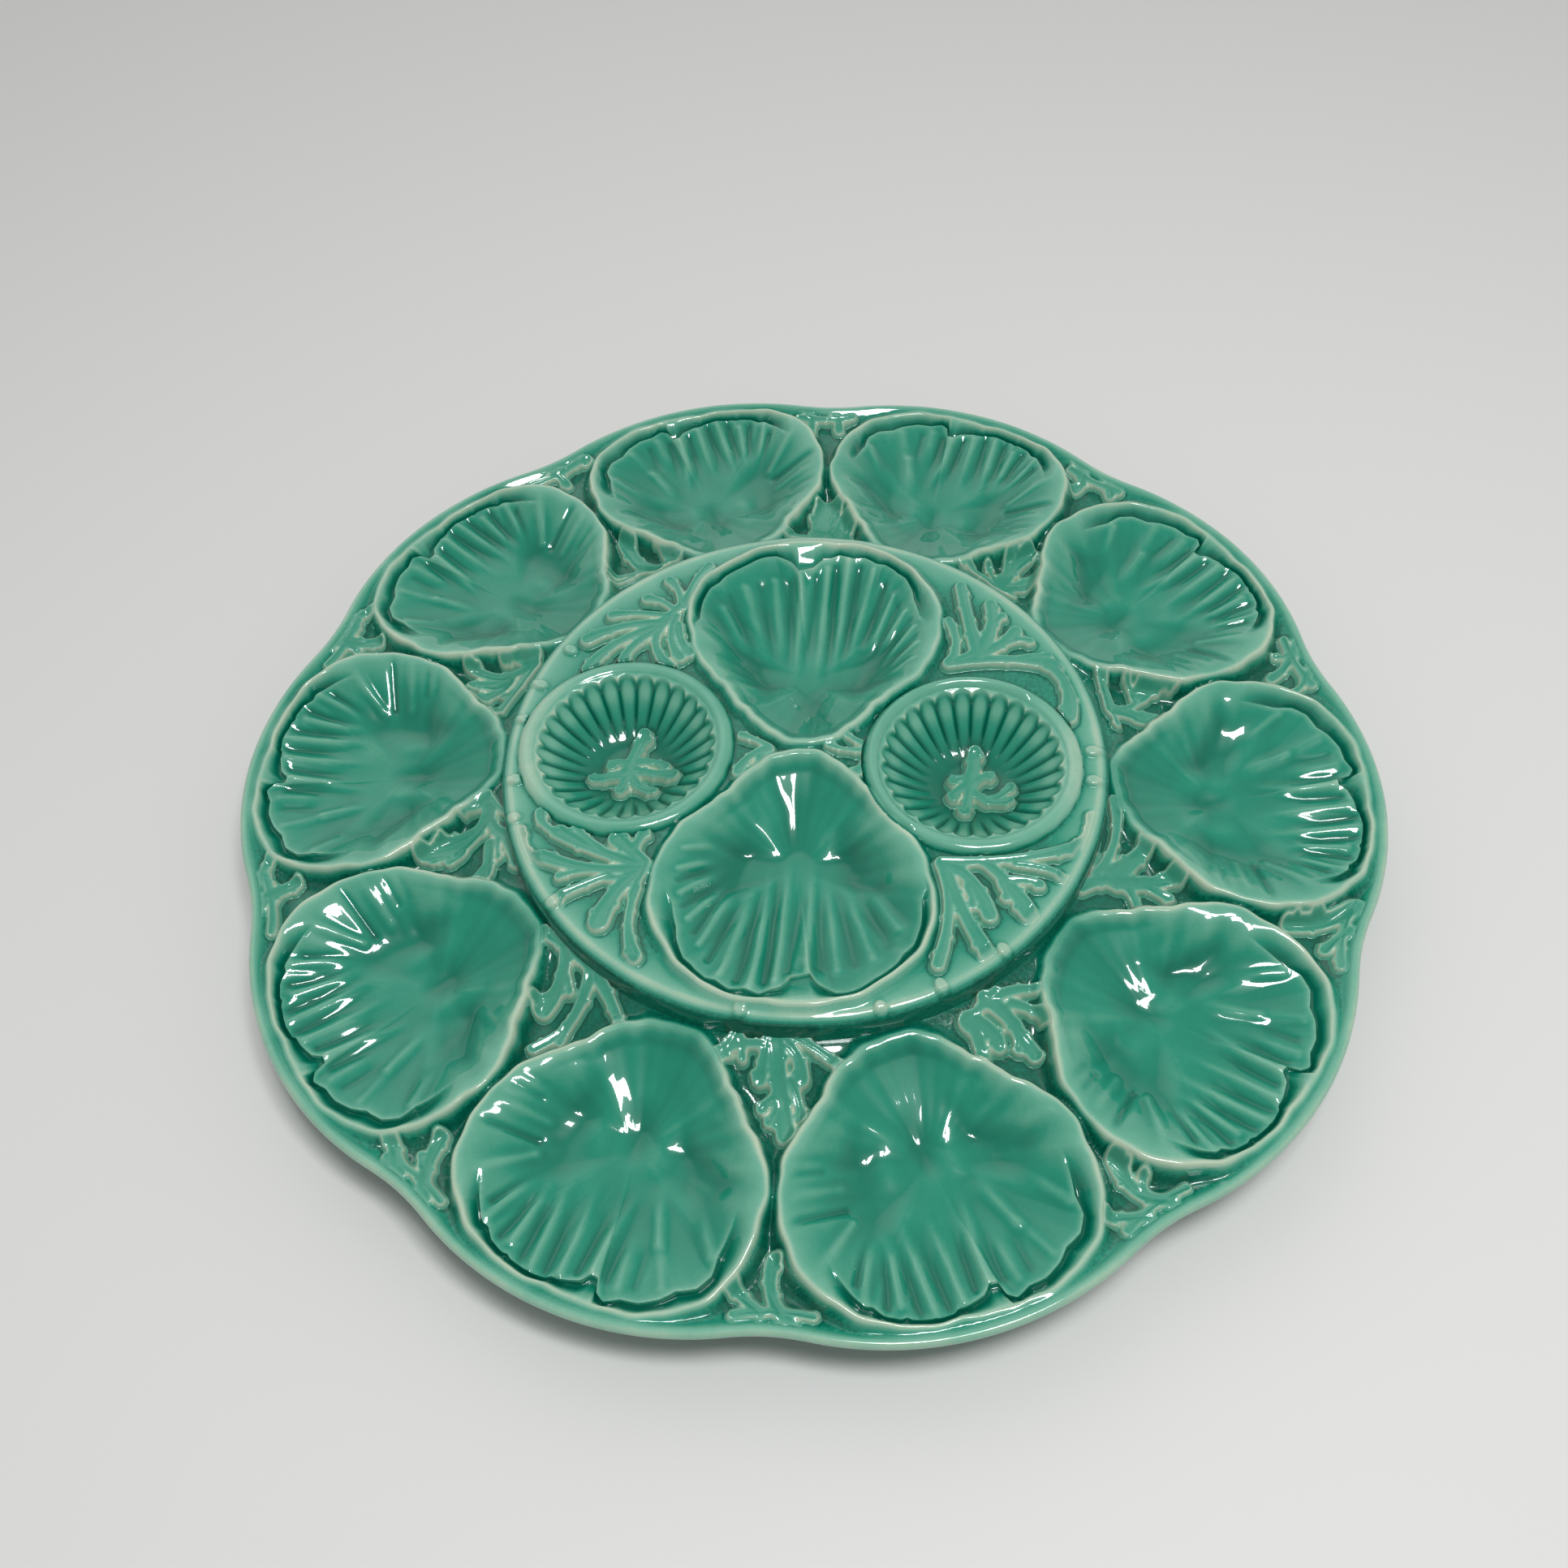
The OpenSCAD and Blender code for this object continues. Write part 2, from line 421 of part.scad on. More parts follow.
// A cup: turned bowl with a rolled edge, and a groove cut up the wall for each flute.
module sauce_cup(c) {
    in_r = cup_d / 2;
    out_r = cup_rim_d / 2;
    hole_r = in_r + centre_t / 2 - seam;
    floor_r = 0.52 * in_r;
    floor_h = centre_h - cup_depth;
    edge_h = centre_h + cup_rise;
    band = (out_r - in_r) / 2;
    groove_r = PI * in_r / cup_flutes * 0.62;
    lean = atan2(cup_depth, in_r - floor_r);
    color([0.40, 0.69, 0.60]) translate(on_top(c)) difference() {
        rotate_extrude($fn = fine) polygon(concat(
            [[0, floor_h - wall_t], [floor_r, floor_h - wall_t], [hole_r, top_seat_h - wall_t],
             [hole_r, top_seat_h], [out_r, top_seat_h], [out_r, edge_h - band]],
            [for (j = [1 : 5]) [in_r + band + band * cos(30 * j), edge_h - band + band * sin(30 * j)]],
            [[in_r, edge_h - band], [0.96 * in_r, centre_h - 0.25 * cup_depth],
             [0.8 * in_r, centre_h - 0.7 * cup_depth], [floor_r, floor_h], [0, floor_h]]));
        for (j = [0 : cup_flutes - 1]) rotate([0, 0, 360 * j / cup_flutes])
            translate([floor_r, 0, floor_h + 0.45 * groove_r]) rotate([0, 90 - lean, 0])
                cylinder(r = groove_r, h = 1.08 * norm([cup_depth, in_r - floor_r]), $fn = 24);
    }
}

module cup_sprig(c, fronds) {
    color([0.55, 0.74, 0.64])
        translate([0, 0, centre_h - cup_depth]) translate(on_top(c)) spray(fronds, in_cup);
}

// Sprays on the ground, kept clear of the wells, the raised centre and the rim.
module ground_spray(k, fronds) {
    high = 2 * centre_h;
    difference() {
        at_gap(k) translate([0, 0, ground_h]) spray(fronds, in_ring);
        for (j = [k, k % lobes + 1]) at_lobe(j)
            well_space(ring_lip_shares, ring_pole_share, in_ring, 0, high);
        cylinder(r = centre_r + seam, h = high, $fn = fine);
        difference() {
            translate([0, 0, -high]) cylinder(r = 2 * plate_r, h = 3 * high, $fn = fine);
            for (j = [k, k % lobes + 1]) rotate([0, 0, pitch * (j - 1)])
                translate([lobe_axis, 0, -2 * high]) cylinder(r = rim_in_r - seam, h = 5 * high, $fn = fine);
        }
    }
}

module weed_spray(k) {
    color([0.50, 0.72, 0.62]) ground_spray(k, weed_shares[(lobes + 3 - k) % lobes]);
}
module rim_weed(k) {
    color([0.52, 0.73, 0.63]) ground_spray(k, rim_weed_shares[(lobes + 3 - k) % lobes]);
}

module centre_weed(fronds) {
    color([0.53, 0.74, 0.64]) difference() {
        translate([0, 0, centre_h]) spray(fronds, on_top);
        for (turn = [0, 180]) rotate([0, 0, turn])
            well_space(centre_lip_shares, centre_pole_share, on_top, 0, 2 * centre_h);
        for (c = cup_centre_shares) translate(on_top(c))
            cylinder(d = cup_rim_d + 2 * seam, h = 2 * centre_h, $fn = fine);
        difference() {
            cylinder(r = plate_r, h = 2 * centre_h, $fn = fine);
            translate([0, 0, -centre_h]) cylinder(r = 0.962 * centre_r, h = 4 * centre_h, $fn = fine);
        }
    }
}

foot_ring();
platter_body();
raised_centre();
oyster_well(1);  // oyster_well_01
oyster_well(2);  // oyster_well_02
oyster_well(3);  // oyster_well_03
oyster_well(4);  // oyster_well_04
oyster_well(5);  // oyster_well_05
oyster_well(6);  // oyster_well_06
oyster_well(7);  // oyster_well_07
oyster_well(8);  // oyster_well_08
oyster_well(9);  // oyster_well_09
oyster_well(10);  // oyster_well_10
centre_well(0);  // centre_well_back
centre_well(180);  // centre_well_front
sauce_cup(cup_centre_shares[0]);  // sauce_cup_left
sauce_cup(cup_centre_shares[1]);  // sauce_cup_right
cup_sprig(cup_centre_shares[0], sprig_left_shares);  // cup_sprig_left
cup_sprig(cup_centre_shares[1], sprig_right_shares);  // cup_sprig_right
weed_spray(1);  // weed_spray_01
weed_spray(2);  // weed_spray_02
weed_spray(3);  // weed_spray_03
weed_spray(4);  // weed_spray_04
weed_spray(5);  // weed_spray_05
weed_spray(6);  // weed_spray_06
weed_spray(7);  // weed_spray_07
weed_spray(8);  // weed_spray_08
weed_spray(9);  // weed_spray_09
weed_spray(10);  // weed_spray_10
rim_weed(1);  // rim_weed_01
rim_weed(2);  // rim_weed_02
rim_weed(3);  // rim_weed_03
rim_weed(4);  // rim_weed_04
rim_weed(5);  // rim_weed_05
rim_weed(6);  // rim_weed_06
rim_weed(7);  // rim_weed_07
rim_weed(8);  // rim_weed_08
rim_weed(9);  // rim_weed_09
rim_weed(10);  // rim_weed_10
centre_weed(back_left_shares);  // centre_weed_back_left
centre_weed(back_right_shares);  // centre_weed_back_right
centre_weed(front_left_shares);  // centre_weed_front_left
centre_weed(front_right_shares);  // centre_weed_front_right
centre_weed(mid_left_shares);  // middle_weed_left
centre_weed(mid_right_shares);  // middle_weed_right
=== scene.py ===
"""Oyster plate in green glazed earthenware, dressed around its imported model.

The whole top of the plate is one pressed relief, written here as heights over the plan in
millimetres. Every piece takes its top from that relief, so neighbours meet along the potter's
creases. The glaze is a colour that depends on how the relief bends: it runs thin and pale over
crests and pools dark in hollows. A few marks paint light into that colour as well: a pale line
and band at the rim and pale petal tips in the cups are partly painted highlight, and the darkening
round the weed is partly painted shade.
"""

import json
import logging
import math
from dataclasses import dataclass, field
from enum import Enum
from typing import Callable, Sequence

import bpy
import numpy as np
from mathutils import Matrix, Vector

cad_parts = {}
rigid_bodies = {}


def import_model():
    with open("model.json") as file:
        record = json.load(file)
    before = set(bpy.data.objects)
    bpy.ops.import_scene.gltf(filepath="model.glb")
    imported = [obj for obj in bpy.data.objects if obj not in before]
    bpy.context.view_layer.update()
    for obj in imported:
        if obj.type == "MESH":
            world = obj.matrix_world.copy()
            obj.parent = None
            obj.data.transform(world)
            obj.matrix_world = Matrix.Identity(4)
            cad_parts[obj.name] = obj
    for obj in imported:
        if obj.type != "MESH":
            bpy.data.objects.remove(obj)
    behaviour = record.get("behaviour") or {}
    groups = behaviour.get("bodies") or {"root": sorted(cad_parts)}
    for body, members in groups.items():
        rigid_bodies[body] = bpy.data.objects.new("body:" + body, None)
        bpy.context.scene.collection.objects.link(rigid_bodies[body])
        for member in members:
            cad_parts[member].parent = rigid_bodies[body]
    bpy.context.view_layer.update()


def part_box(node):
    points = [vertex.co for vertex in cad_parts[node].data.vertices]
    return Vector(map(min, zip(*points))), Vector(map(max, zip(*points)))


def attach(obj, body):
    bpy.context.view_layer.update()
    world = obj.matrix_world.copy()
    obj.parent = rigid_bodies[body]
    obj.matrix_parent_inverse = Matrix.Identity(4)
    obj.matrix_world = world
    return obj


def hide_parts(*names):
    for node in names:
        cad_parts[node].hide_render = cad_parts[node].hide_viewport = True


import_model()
LOG = logging.getLogger("oyster_plate")
MM = 0.001
SHARP = math.radians(58.0)
Array = np.ndarray
Pair = tuple[float, float]
Field = Callable[[Array, Array], Array]


# Plain maths on arrays

def smooth(low: float, high: float, x: Array) -> Array:
    """Climbs from 0 at low to 1 at high with level ends."""
    t = np.clip((x - low) / (high - low), 0.0, 1.0)
    return t * t * (3.0 - 2.0 * t)


def soft_min(a: Array, b: Array, blend: float) -> Array:
    """Smaller of two distances, with the crease between them rounded over a blend width."""
    h = np.clip(0.5 + 0.5 * (b - a) / blend, 0.0, 1.0)
    return b * (1.0 - h) + a * h - blend * h * (1.0 - h)


def turned(x: Array, y: Array, degrees: float) -> tuple[Array, Array]:
    """Plan coordinates turned anticlockwise about the plate's axis."""
    c, s = math.cos(math.radians(degrees)), math.sin(math.radians(degrees))
    return x * c - y * s, x * s + y * c


def along_chain(path: Array, x: Array, y: Array) -> tuple[Array, Array]:
    """Distance to a chain of points, and where along the chain the nearest place lies.

    Args:
        path: Rows of x, y and half width.
        x: Where to measure.
        y: Where to measure.

    Returns:
        Distances less the half width there, and shares of the chain's length.
    """
    steps = np.hypot(*np.diff(path[:, :2], axis=0).T)
    done = np.concatenate([[0.0], np.cumsum(steps)]) / max(steps.sum(), 1e-6)
    best, share = np.full(x.shape, 1e6), np.zeros(x.shape)
    for k, ((ax, ay, aw), (bx, by, bw)) in enumerate(zip(path[:-1], path[1:])):
        dx, dy = bx - ax, by - ay
        t = np.clip(((x - ax) * dx + (y - ay) * dy) / (dx * dx + dy * dy + 1e-9), 0.0, 1.0)
        d = np.hypot(x - ax - t * dx, y - ay - t * dy) - aw - (bw - aw) * t
        closer = d < best
        best = np.where(closer, d, best)
        share = np.where(closer, done[k] + (done[k + 1] - done[k]) * t, share)
    return best, share


def gauss(image: Array, sigma: float) -> Array:
    """An image blurred by a bell of the given width in cells.

    Args:
        image: Values on a grid.
        sigma: The bell's width in cells.

    Returns:
        The blurred image.
    """
    fy = np.fft.fftfreq(image.shape[0])[:, None]
    fx = np.fft.rfftfreq(image.shape[1])[None, :]
    bell = np.exp(-2.0 * (math.pi * sigma) ** 2 * (fx * fx + fy * fy))
    return np.fft.irfft2(np.fft.rfft2(image) * bell, s=image.shape)


# Sizes

def edge_mm(node: str, axis: int, top: bool = True) -> float:
    """One side of a CAD node's box, in millimetres."""
    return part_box(node)[1 if top else 0][axis] / MM


@dataclass(frozen=True)
class PlateSizes:
    """The plate's driving sizes in millimetres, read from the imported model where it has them."""
    plate_r: float = edge_mm("platter_body", 0) - 0.04
    rim_h: float = edge_mm("platter_body", 2)
    under_h: float = edge_mm("foot_ring", 2)
    foot_r: float = edge_mm("foot_ring", 0)
    centre_r: float = edge_mm("raised_centre", 0)
    centre_h: float = edge_mm("raised_centre", 2)
    seat_h: float = edge_mm("raised_centre", 2, top=False)
    lobes: int = 10
    lobe_axis_share: float = 0.4543
    roll_w: float = 3.2
    ground_rise: float = 0.6
    well_depth: float = 7.5
    centre_well_depth: float = 10.0
    wall: float = 5.0
    flank: float = 1.2
    foot_w: float = 7.0
    top_wall: float = 5.5
    notch_blend: float = 6.0

    @property
    def pitch(self) -> float:
        """Angle from one lobe to the next, in degrees."""
        return 360.0 / self.lobes

    @property
    def lobe_axis(self) -> float:
        """Distance of a lobe's own axis from the plate's."""
        return self.plate_r * self.lobe_axis_share

    @property
    def ground_h(self) -> float:
        """Height of the sunken ground."""
        return self.seat_h + self.ground_rise

    @property
    def centre_under(self) -> float:
        """Height of the flat underside of the centre's top."""
        return self.centre_h - self.top_wall


SIZE = PlateSizes()


# Relief

@dataclass(frozen=True)
class Stroke:
    """A ridge or a groove pressed along a line of points; a height below zero is a groove.

    A flute starts at full height and dies away past its last point. A fold dies away at both ends.
    """
    points: tuple[Pair, ...]
    width: float
    height: float
    fold: bool
    fold_lead: float = 0.3
    flute_run: float = 0.8
    spread: float = 0.35
    fold_gain: float = 1.15

    def relief(self, x: Array, y: Array) -> Array:
        """Height that the stroke adds at each place.

        Args:
            x: Places along X.
            y: Places along Y.

        Returns:
            Heights, in millimetres.
        """
        pts = np.array(self.points, float)
        if len(pts) == 1:
            return self.height * np.exp(-(np.hypot(x - pts[0, 0], y - pts[0, 1]) / self.width) ** 2)
        if self.fold:
            lead = self.fold_lead
            pts = np.vstack([pts[0] + lead * (pts[0] - pts[1]), pts, pts[-1] + lead * (pts[-1] - pts[-2])])
        else:
            pts = np.vstack([pts, pts[-1] + self.flute_run * (pts[-1] - pts[-2])])
        d, share = along_chain(np.column_stack([pts, np.zeros(len(pts))]), x, y)
        fade = 1.0 - smooth(0.35, 1.0, share)
        if self.fold:
            fade = self.fold_gain * smooth(0.0, 0.45, share) * (1.0 - smooth(0.55, 1.0, share))
        return self.height * fade * np.exp(-(d / (self.width * (1.0 + self.spread * share))) ** 2)


@dataclass(frozen=True)
class Outline:
    """A lip round a pole: angle, radius and height in thousandths of the plate's radius."""
    pole: Pair
    rows: tuple[tuple[int, int, int], ...]
    rounding: float = 4.0
    waver: tuple[tuple[float, float, float], ...] = (
        (0.34, 9.0, 0.6), (0.22, 17.0, 2.0), (0.14, 29.0, 4.1))

    def table(self, column: int) -> Array:
        """A column as a smooth closed curve, one value each half degree from -180.

        The radius wavers a little, as the edge of a real shell does.

        Args:
            column: 1 for the radius, 2 for the height.

        Returns:
            720 values in millimetres.
        """
        rows = np.array(self.rows, float)
        fine = np.interp(np.arange(720) * 0.5 - 180.0, rows[:, 0], rows[:, column])
        bell = np.exp(-2.0 * (math.pi * self.rounding * 2.0 * np.fft.rfftfreq(720)) ** 2)
        curve = np.fft.irfft(np.fft.rfft(fine) * bell, 720) * SIZE.plate_r / 1000.0
        if column != 1:
            return curve
        turn = np.radians(np.arange(720) * 0.5)
        return curve + sum(size * np.sin(times * turn + start) for size, times, start in self.waver)

    def look_up(self, values: Array, angle: Array) -> Array:
        """Values of a half-degree table at any angles."""
        return np.interp(angle, np.arange(721) * 0.5 - 180.0, np.append(values, values[0]))

    @property
    def pole_mm(self) -> Pair:
        """The pole's place."""
        return self.pole[0] * SIZE.plate_r / 1000.0, self.pole[1] * SIZE.plate_r / 1000.0

    def polar(self, x: Array, y: Array) -> tuple[Array, Array]:
        """Distance from the pole and angle in degrees."""
        px, py = self.pole_mm
        return np.hypot(x - px, y - py), np.degrees(np.arctan2(y - py, x - px))

    def lean(self, angle: Array) -> Array:
        """Share of a step along a spoke that leads straight away from the lip.

        Args:
            angle: Angles in degrees.

        Returns:
            Shares from 0 to 1.
        """
        radius = self.table(1)
        slope = (np.roll(radius, -1) - np.roll(radius, 1)) / math.radians(1.0) / radius
        return self.look_up(1.0 / np.sqrt(1.0 + slope * slope), angle)

    def spoke(self, angle: Array, out: float) -> Array:
        """Distance from the pole to places that lie outside the lip by an amount."""
        return self.look_up(self.table(1), angle) + out / self.lean(angle)

    def off_lip(self, x: Array, y: Array) -> tuple[Array, Array]:
        """Distance outside the lip, and the lip's height above what carries it."""
        r, a = self.polar(x, y)
        return (r - self.look_up(self.table(1), a)) * self.lean(a), self.look_up(self.table(2), a)


RING_LIP = Outline((-4, 724), (
    (-180, 216, 19), (-168, 195, 19), (-156, 175, 20), (-144, 166, 21), (-132, 161, 22),
    (-120, 169, 22), (-108, 186, 24), (-96, 189, 25), (-84, 190, 25), (-72, 191, 25),
    (-60, 187, 24), (-48, 181, 22), (-36, 182, 21), (-24, 196, 20), (-12, 214, 19),
    (0, 234, 19), (12, 250, 19), (24, 262, 20), (36, 272, 21), (48, 273, 15),
    (60, 262, 4), (72, 252, 0), (84, 248, 0), (96, 247, 0), (108, 253, 0),
    (120, 265, 0), (132, 270, 0), (144, 261, 4), (156, 246, 11), (168, 231, 17), (180, 216, 19)))
CENTRE_LIP = Outline((0, 205), (
    (-180, 200, 19), (-168, 180, 19), (-156, 166, 19), (-144, 162, 19), (-132, 163, 19),
    (-120, 172, 19), (-108, 187, 19), (-96, 195, 19), (-84, 196, 19), (-72, 191, 19),
    (-60, 172, 19), (-48, 162, 19), (-36, 163, 19), (-24, 171, 19), (-12, 191, 19),
    (0, 214, 19), (12, 233, 19), (24, 251, 19), (36, 269, 19), (48, 280, 17),
    (60, 286, 15), (72, 287, 13), (84, 285, 13), (96, 284, 13), (108, 284, 13),
    (120, 282, 13), (132, 279, 15), (144, 267, 19), (156, 246, 19), (168, 222, 19), (180, 200, 19)))


@dataclass(frozen=True)
class ShellPress:
    """The pressed hollow of one shell well: tray, shell sheet with a torn scalloped edge, folds."""
    lip: Outline
    base_h: float
    depth: float
    sheet_edge: tuple[Pair, ...]
    sheet_rise: float
    sheet_step: float
    outer_from: float
    outer_to: float
    strokes: tuple[Stroke, ...]
    edge_share: float = 0.95
    ramp_share: float = 0.84
    calm_share: float = 0.35
    tear_w: float = 0.7

    @property
    def floor_h(self) -> float:
        """Height of the hollow's floor."""
        return self.base_h - self.depth

    def edge_radius(self, angle: Array) -> Array:
        """Distance from the pole to the sheet's edge, held inside the lip.

        Args:
            angle: Angles in degrees.

        Returns:
            Distances in millimetres.
        """
        px, py = self.lip.pole_mm
        pts = np.array(self.sheet_edge) - (px, py)
        at = np.degrees(np.arctan2(pts[:, 1], pts[:, 0]))
        order = np.argsort(at)
        radius = np.interp(angle, at[order], np.hypot(*pts.T)[order], period=360.0)
        return np.minimum(radius, self.edge_share * self.lip.look_up(self.lip.table(1), angle))

    def hollow(self, x: Array, y: Array) -> Array:
        """Height of the surface inside the lip.

        Args:
            x: Places along X.
            y: Places along Y.

        Returns:
            Heights in millimetres.
        """
        r, a = self.lip.polar(x, y)
        reach = self.lip.look_up(self.lip.table(1), a)
        top = self.base_h + self.lip.look_up(self.lip.table(2), a)
        share = np.clip(r / reach, 0.0, 1.0)
        bowl = smooth(0.40, 1.0, share)
        ramp = self.ramp_share * np.clip((share - 0.18) / 0.78, 0.0, 1.0) ** 1.2
        ramp = ramp + (1.0 - self.ramp_share) * smooth(0.84, 1.0, share)
        narrow = 1.0 - smooth(38.0, 80.0, np.abs(a + 90.0))
        tray = self.floor_h + (top - self.floor_h) * (bowl * (1.0 - narrow) + ramp * narrow)
        edge = self.edge_radius(a)
        crest_h = self.floor_h + self.sheet_rise * (top - self.floor_h)
        sheet = self.floor_h + (crest_h - self.floor_h) * np.clip(r / edge, 0.0, 1.0) ** 2.4
        q = np.clip((r - edge) / np.maximum(reach - edge, 0.5), 0.0, 1.0)
        gutter = crest_h - self.sheet_step + (top - crest_h + self.sheet_step) * smooth(0.15, 1.0, q)
        step = smooth(0.0, self.tear_w, r - edge)
        torn = sheet * (1.0 - step) + gutter * step
        middle = 0.5 * (self.outer_from + self.outer_to)
        half = 0.5 * (self.outer_to - self.outer_from)
        off = np.abs((a - middle + 180.0) % 360.0 - 180.0)
        share_outer = 1.0 - smooth(half - 12.0, half + 8.0, off)
        z = tray * (1.0 - share_outer) + torn * share_outer
        folds = sum(s.relief(x, y) for s in self.strokes)
        calm = self.calm_share + (1.0 - self.calm_share) * smooth(-10.0, 12.0, y - self.lip.pole_mm[1])
        return z + folds * calm * (1.0 - smooth(0.88, 1.0, share)) * (1.0 - 0.8 * step * share_outer)


def ridge(*points: Pair, w: float = 1.45, h: float = 0.95) -> Stroke:
    """A raised flute, or a fold where it is broad."""
    return Stroke(points, w, h, w > 2.1)


def groove(*points: Pair, w: float = 1.3, h: float = 1.05) -> Stroke:
    """A sunk line, or a hollow where it is broad."""
    return Stroke(points, w, -h, w > 2.1)


RING_FOLDS = (
    ridge((-5, 170), (-5, 160), (-6, 150)), ridge((3, 174), (4, 158)), ridge((11, 176), (12, 158), h=1.0),
    ridge((19, 171), (18, 158), h=0.9), ridge((28, 168), (24, 156), h=0.9),
    ridge((25, 146), (33, 154), h=0.9), ridge((26, 136), (37, 137), h=0.8),
    ridge((-18, 157), (-14, 147), w=2.0), ridge((-33, 156), (-28, 149), h=0.6),
    ridge((-24, 168), (-20, 160), w=1.8, h=0.6), ridge((-13, 172), (-12, 164), w=1.8, h=0.6),
    groove((-1, 172), (-1, 160)), groove((7, 176), (8, 163)), groove((15, 175), (15, 163)),
    groove((23, 171), (20, 160)), groove((29, 163), (24, 154)), groove((26, 142), (40, 144)),
    groove((30, 131), (39, 131)), groove((30, 127), (37, 127), h=0.5),
    groove((-9, 171), (-9, 160), h=0.6), groove((-17, 170), (-16, 162), h=0.5),
    ridge((-38, 131), (-29, 131), (-16, 126), w=2.4, h=1.7), groove((-28, 137), w=4.0, h=1.0),
    groove((-31, 124), (-20, 122), (-13, 121), w=2.2, h=1.1),
    ridge((-8, 139), (-7, 129), (-4, 120), w=3.4, h=1.3), groove((0, 137), (1, 127), (3, 119), w=2.8, h=1.7),
    ridge((11, 139), (12, 130), (9, 119), w=3.6, h=1.5),
    groove((22, 131), (18, 123), (15, 116), w=2.4, h=1.1),
    groove((-16, 131), (-12, 123), (-10, 116), w=2.4, h=1.1),
    ridge((24, 128), (24, 118), w=3.0, h=0.9), groove((-6, 150), w=6.0, h=0.4), ridge((8, 148), w=5.0, h=0.4),
    groove((21, 108), (33, 121), w=0.8, h=0.45), groove((19, 111), (30, 123), w=0.8, h=0.35),
    groove((23, 105), (36, 119), w=0.8, h=0.4), ridge((38, 164), w=3.6, h=1.6),
    groove((-24, 112), (-32, 121), w=0.9, h=0.45), groove((-22, 115), (-28, 122), w=0.9, h=0.35))
RING_SHELL = ShellPress(
    RING_LIP, SIZE.rim_h, SIZE.well_depth,
    ((36, 152), (34.5, 158), (33, 162), (31, 166), (28.5, 169.5), (26.5, 170), (24.5, 172.6), (21, 174.8),
     (18.5, 174.6), (15, 177), (11.5, 176.6), (8, 178), (5, 175.8), (2, 175.6), (-3, 174), (-5, 171.5),
     (-7.2, 171.6), (-8.4, 175.4), (-11, 177), (-15, 174.8), (-20, 174), (-25, 171), (-28, 167.6),
     (-33, 165), (-35.5, 160.5), (-35, 155), (-35.6, 150), (-35, 142)),
    0.66, 1.9, 38.0, 160.0, RING_FOLDS)

CENTRE_FOLDS = (
    ridge((-5, 77), (-5, 50), h=0.9), ridge((4, 81), (3, 51), h=0.9), ridge((11, 84), (9, 56)),
    ridge((20, 80), (15, 58)), ridge((-14, 76), (-11, 54), w=1.8), ridge((-24, 72), (-18, 54), w=2.0),
    ridge((-31, 62), (-24, 50), w=2.0), ridge((27, 70), (22, 56), w=1.1), ridge((31, 62), (25, 52), w=1.1),
    ridge((34, 54), (27, 46), w=1.0), ridge((35, 46), (28, 41), w=1.0), ridge((34, 39), (28, 36), w=0.9),
    groove((0, 78), (-1, 56), w=1.5), groove((7, 82), (6, 56), w=1.5), groove((15, 82), (12, 58), w=1.5),
    groove((24, 75), (19, 58), w=1.3), groove((29, 66), (24, 54), w=1.0, h=0.6),
    groove((33, 58), (26, 49), w=1.0, h=0.6), groove((35, 50), (28, 43), w=1.0, h=0.6),
    groove((-9, 76), (-8, 56), w=1.6, h=0.6), groove((-19, 74), (-15, 56), w=1.8, h=0.6),
    groove((-29, 68), (-23, 54), w=1.8, h=0.6), groove((-4, 77), w=3.0, h=1.0),
    ridge((-9, 32), (-5, 16), w=3.4, h=1.1), groove((2, 30), (3, 12), w=3.0, h=1.5),
    ridge((11, 32), (8, 18), w=3.4, h=1.0), groove((-17, 34), (-13, 24), w=3.0, h=1.0),
    groove((20, 36), (15, 24), w=3.0, h=0.9), groove((-26, 44), w=4.0, h=0.8), ridge((0, 45), w=6.0, h=0.5),
    groove((17, 14), (29, 27), w=0.8, h=0.4), groove((15, 17), (25, 28), w=0.8, h=0.35))
CENTRE_SHELL = ShellPress(
    CENTRE_LIP, SIZE.centre_h, SIZE.centre_well_depth,
    ((36, 58), (34, 66), (33.5, 70), (31, 76), (28.5, 78), (25, 82), (21, 82.6), (17, 85.4), (12.5, 85),
     (8, 86.6), (5, 85), (2, 84), (-1, 80.5), (-6, 79), (-8.4, 82.5), (-14, 85.4), (-19, 84.8), (-22, 83.5),
     (-26, 79.5), (-30, 77), (-33, 72), (-36, 69), (-38, 62), (-38, 54)),
    0.78, 1.5, 28.0, 160.0, CENTRE_FOLDS)


@dataclass(frozen=True)
class Frond:
    """One frond of weed: root, bend and tip in millimetres, then its width at root and tip."""
    x0: float
    y0: float
    x1: float
    y1: float
    x2: float
    y2: float
    root_w: float
    tip_w: float

    def path(self, steps: int = 7) -> Array:
        """Rows of x, y and half width along the frond.

        Args:
            steps: How many rows.

        Returns:
            The rows, from root to tip.
        """
        u = np.linspace(0.0, 1.0, steps)[:, None]
        p0, p1, p2 = np.array([[self.x0, self.y0], [self.x1, self.y1], [self.x2, self.y2]])
        xy = p0 * (1 - u) ** 2 + 2.0 * p1 * u * (1 - u) + p2 * u * u
        knob = 0.45 * smooth(0.55, 0.95, u) - 0.25 * smooth(0.1, 0.5, u)
        return np.hstack([xy, 0.5 * (self.root_w + (self.tip_w - self.root_w) * u) + knob])

    def lobes(self) -> list[tuple[float, float, float]]:
        """Round lobes on both sides towards the tip, as rows of x, y and radius.

        Returns:
            The rows; a short frond has fewer.
        """
        path = self.path(11)
        reach = math.dist(path[0, :2], path[-1, :2])
        found = []
        for k, side, least in ((3, 1.0, 13.0), (5, -1.0, 9.0), (7, 1.0, 6.0), (9, -1.0, 0.0)):
            if reach < least:
                continue
            dx, dy = path[k + 1, :2] - path[k - 1, :2]
            away = 0.60 * side * path[k, 2] / math.hypot(dx, dy)
            found.append((path[k, 0] - dy * away, path[k, 1] + dx * away, 0.62 * path[k, 2]))
        return found


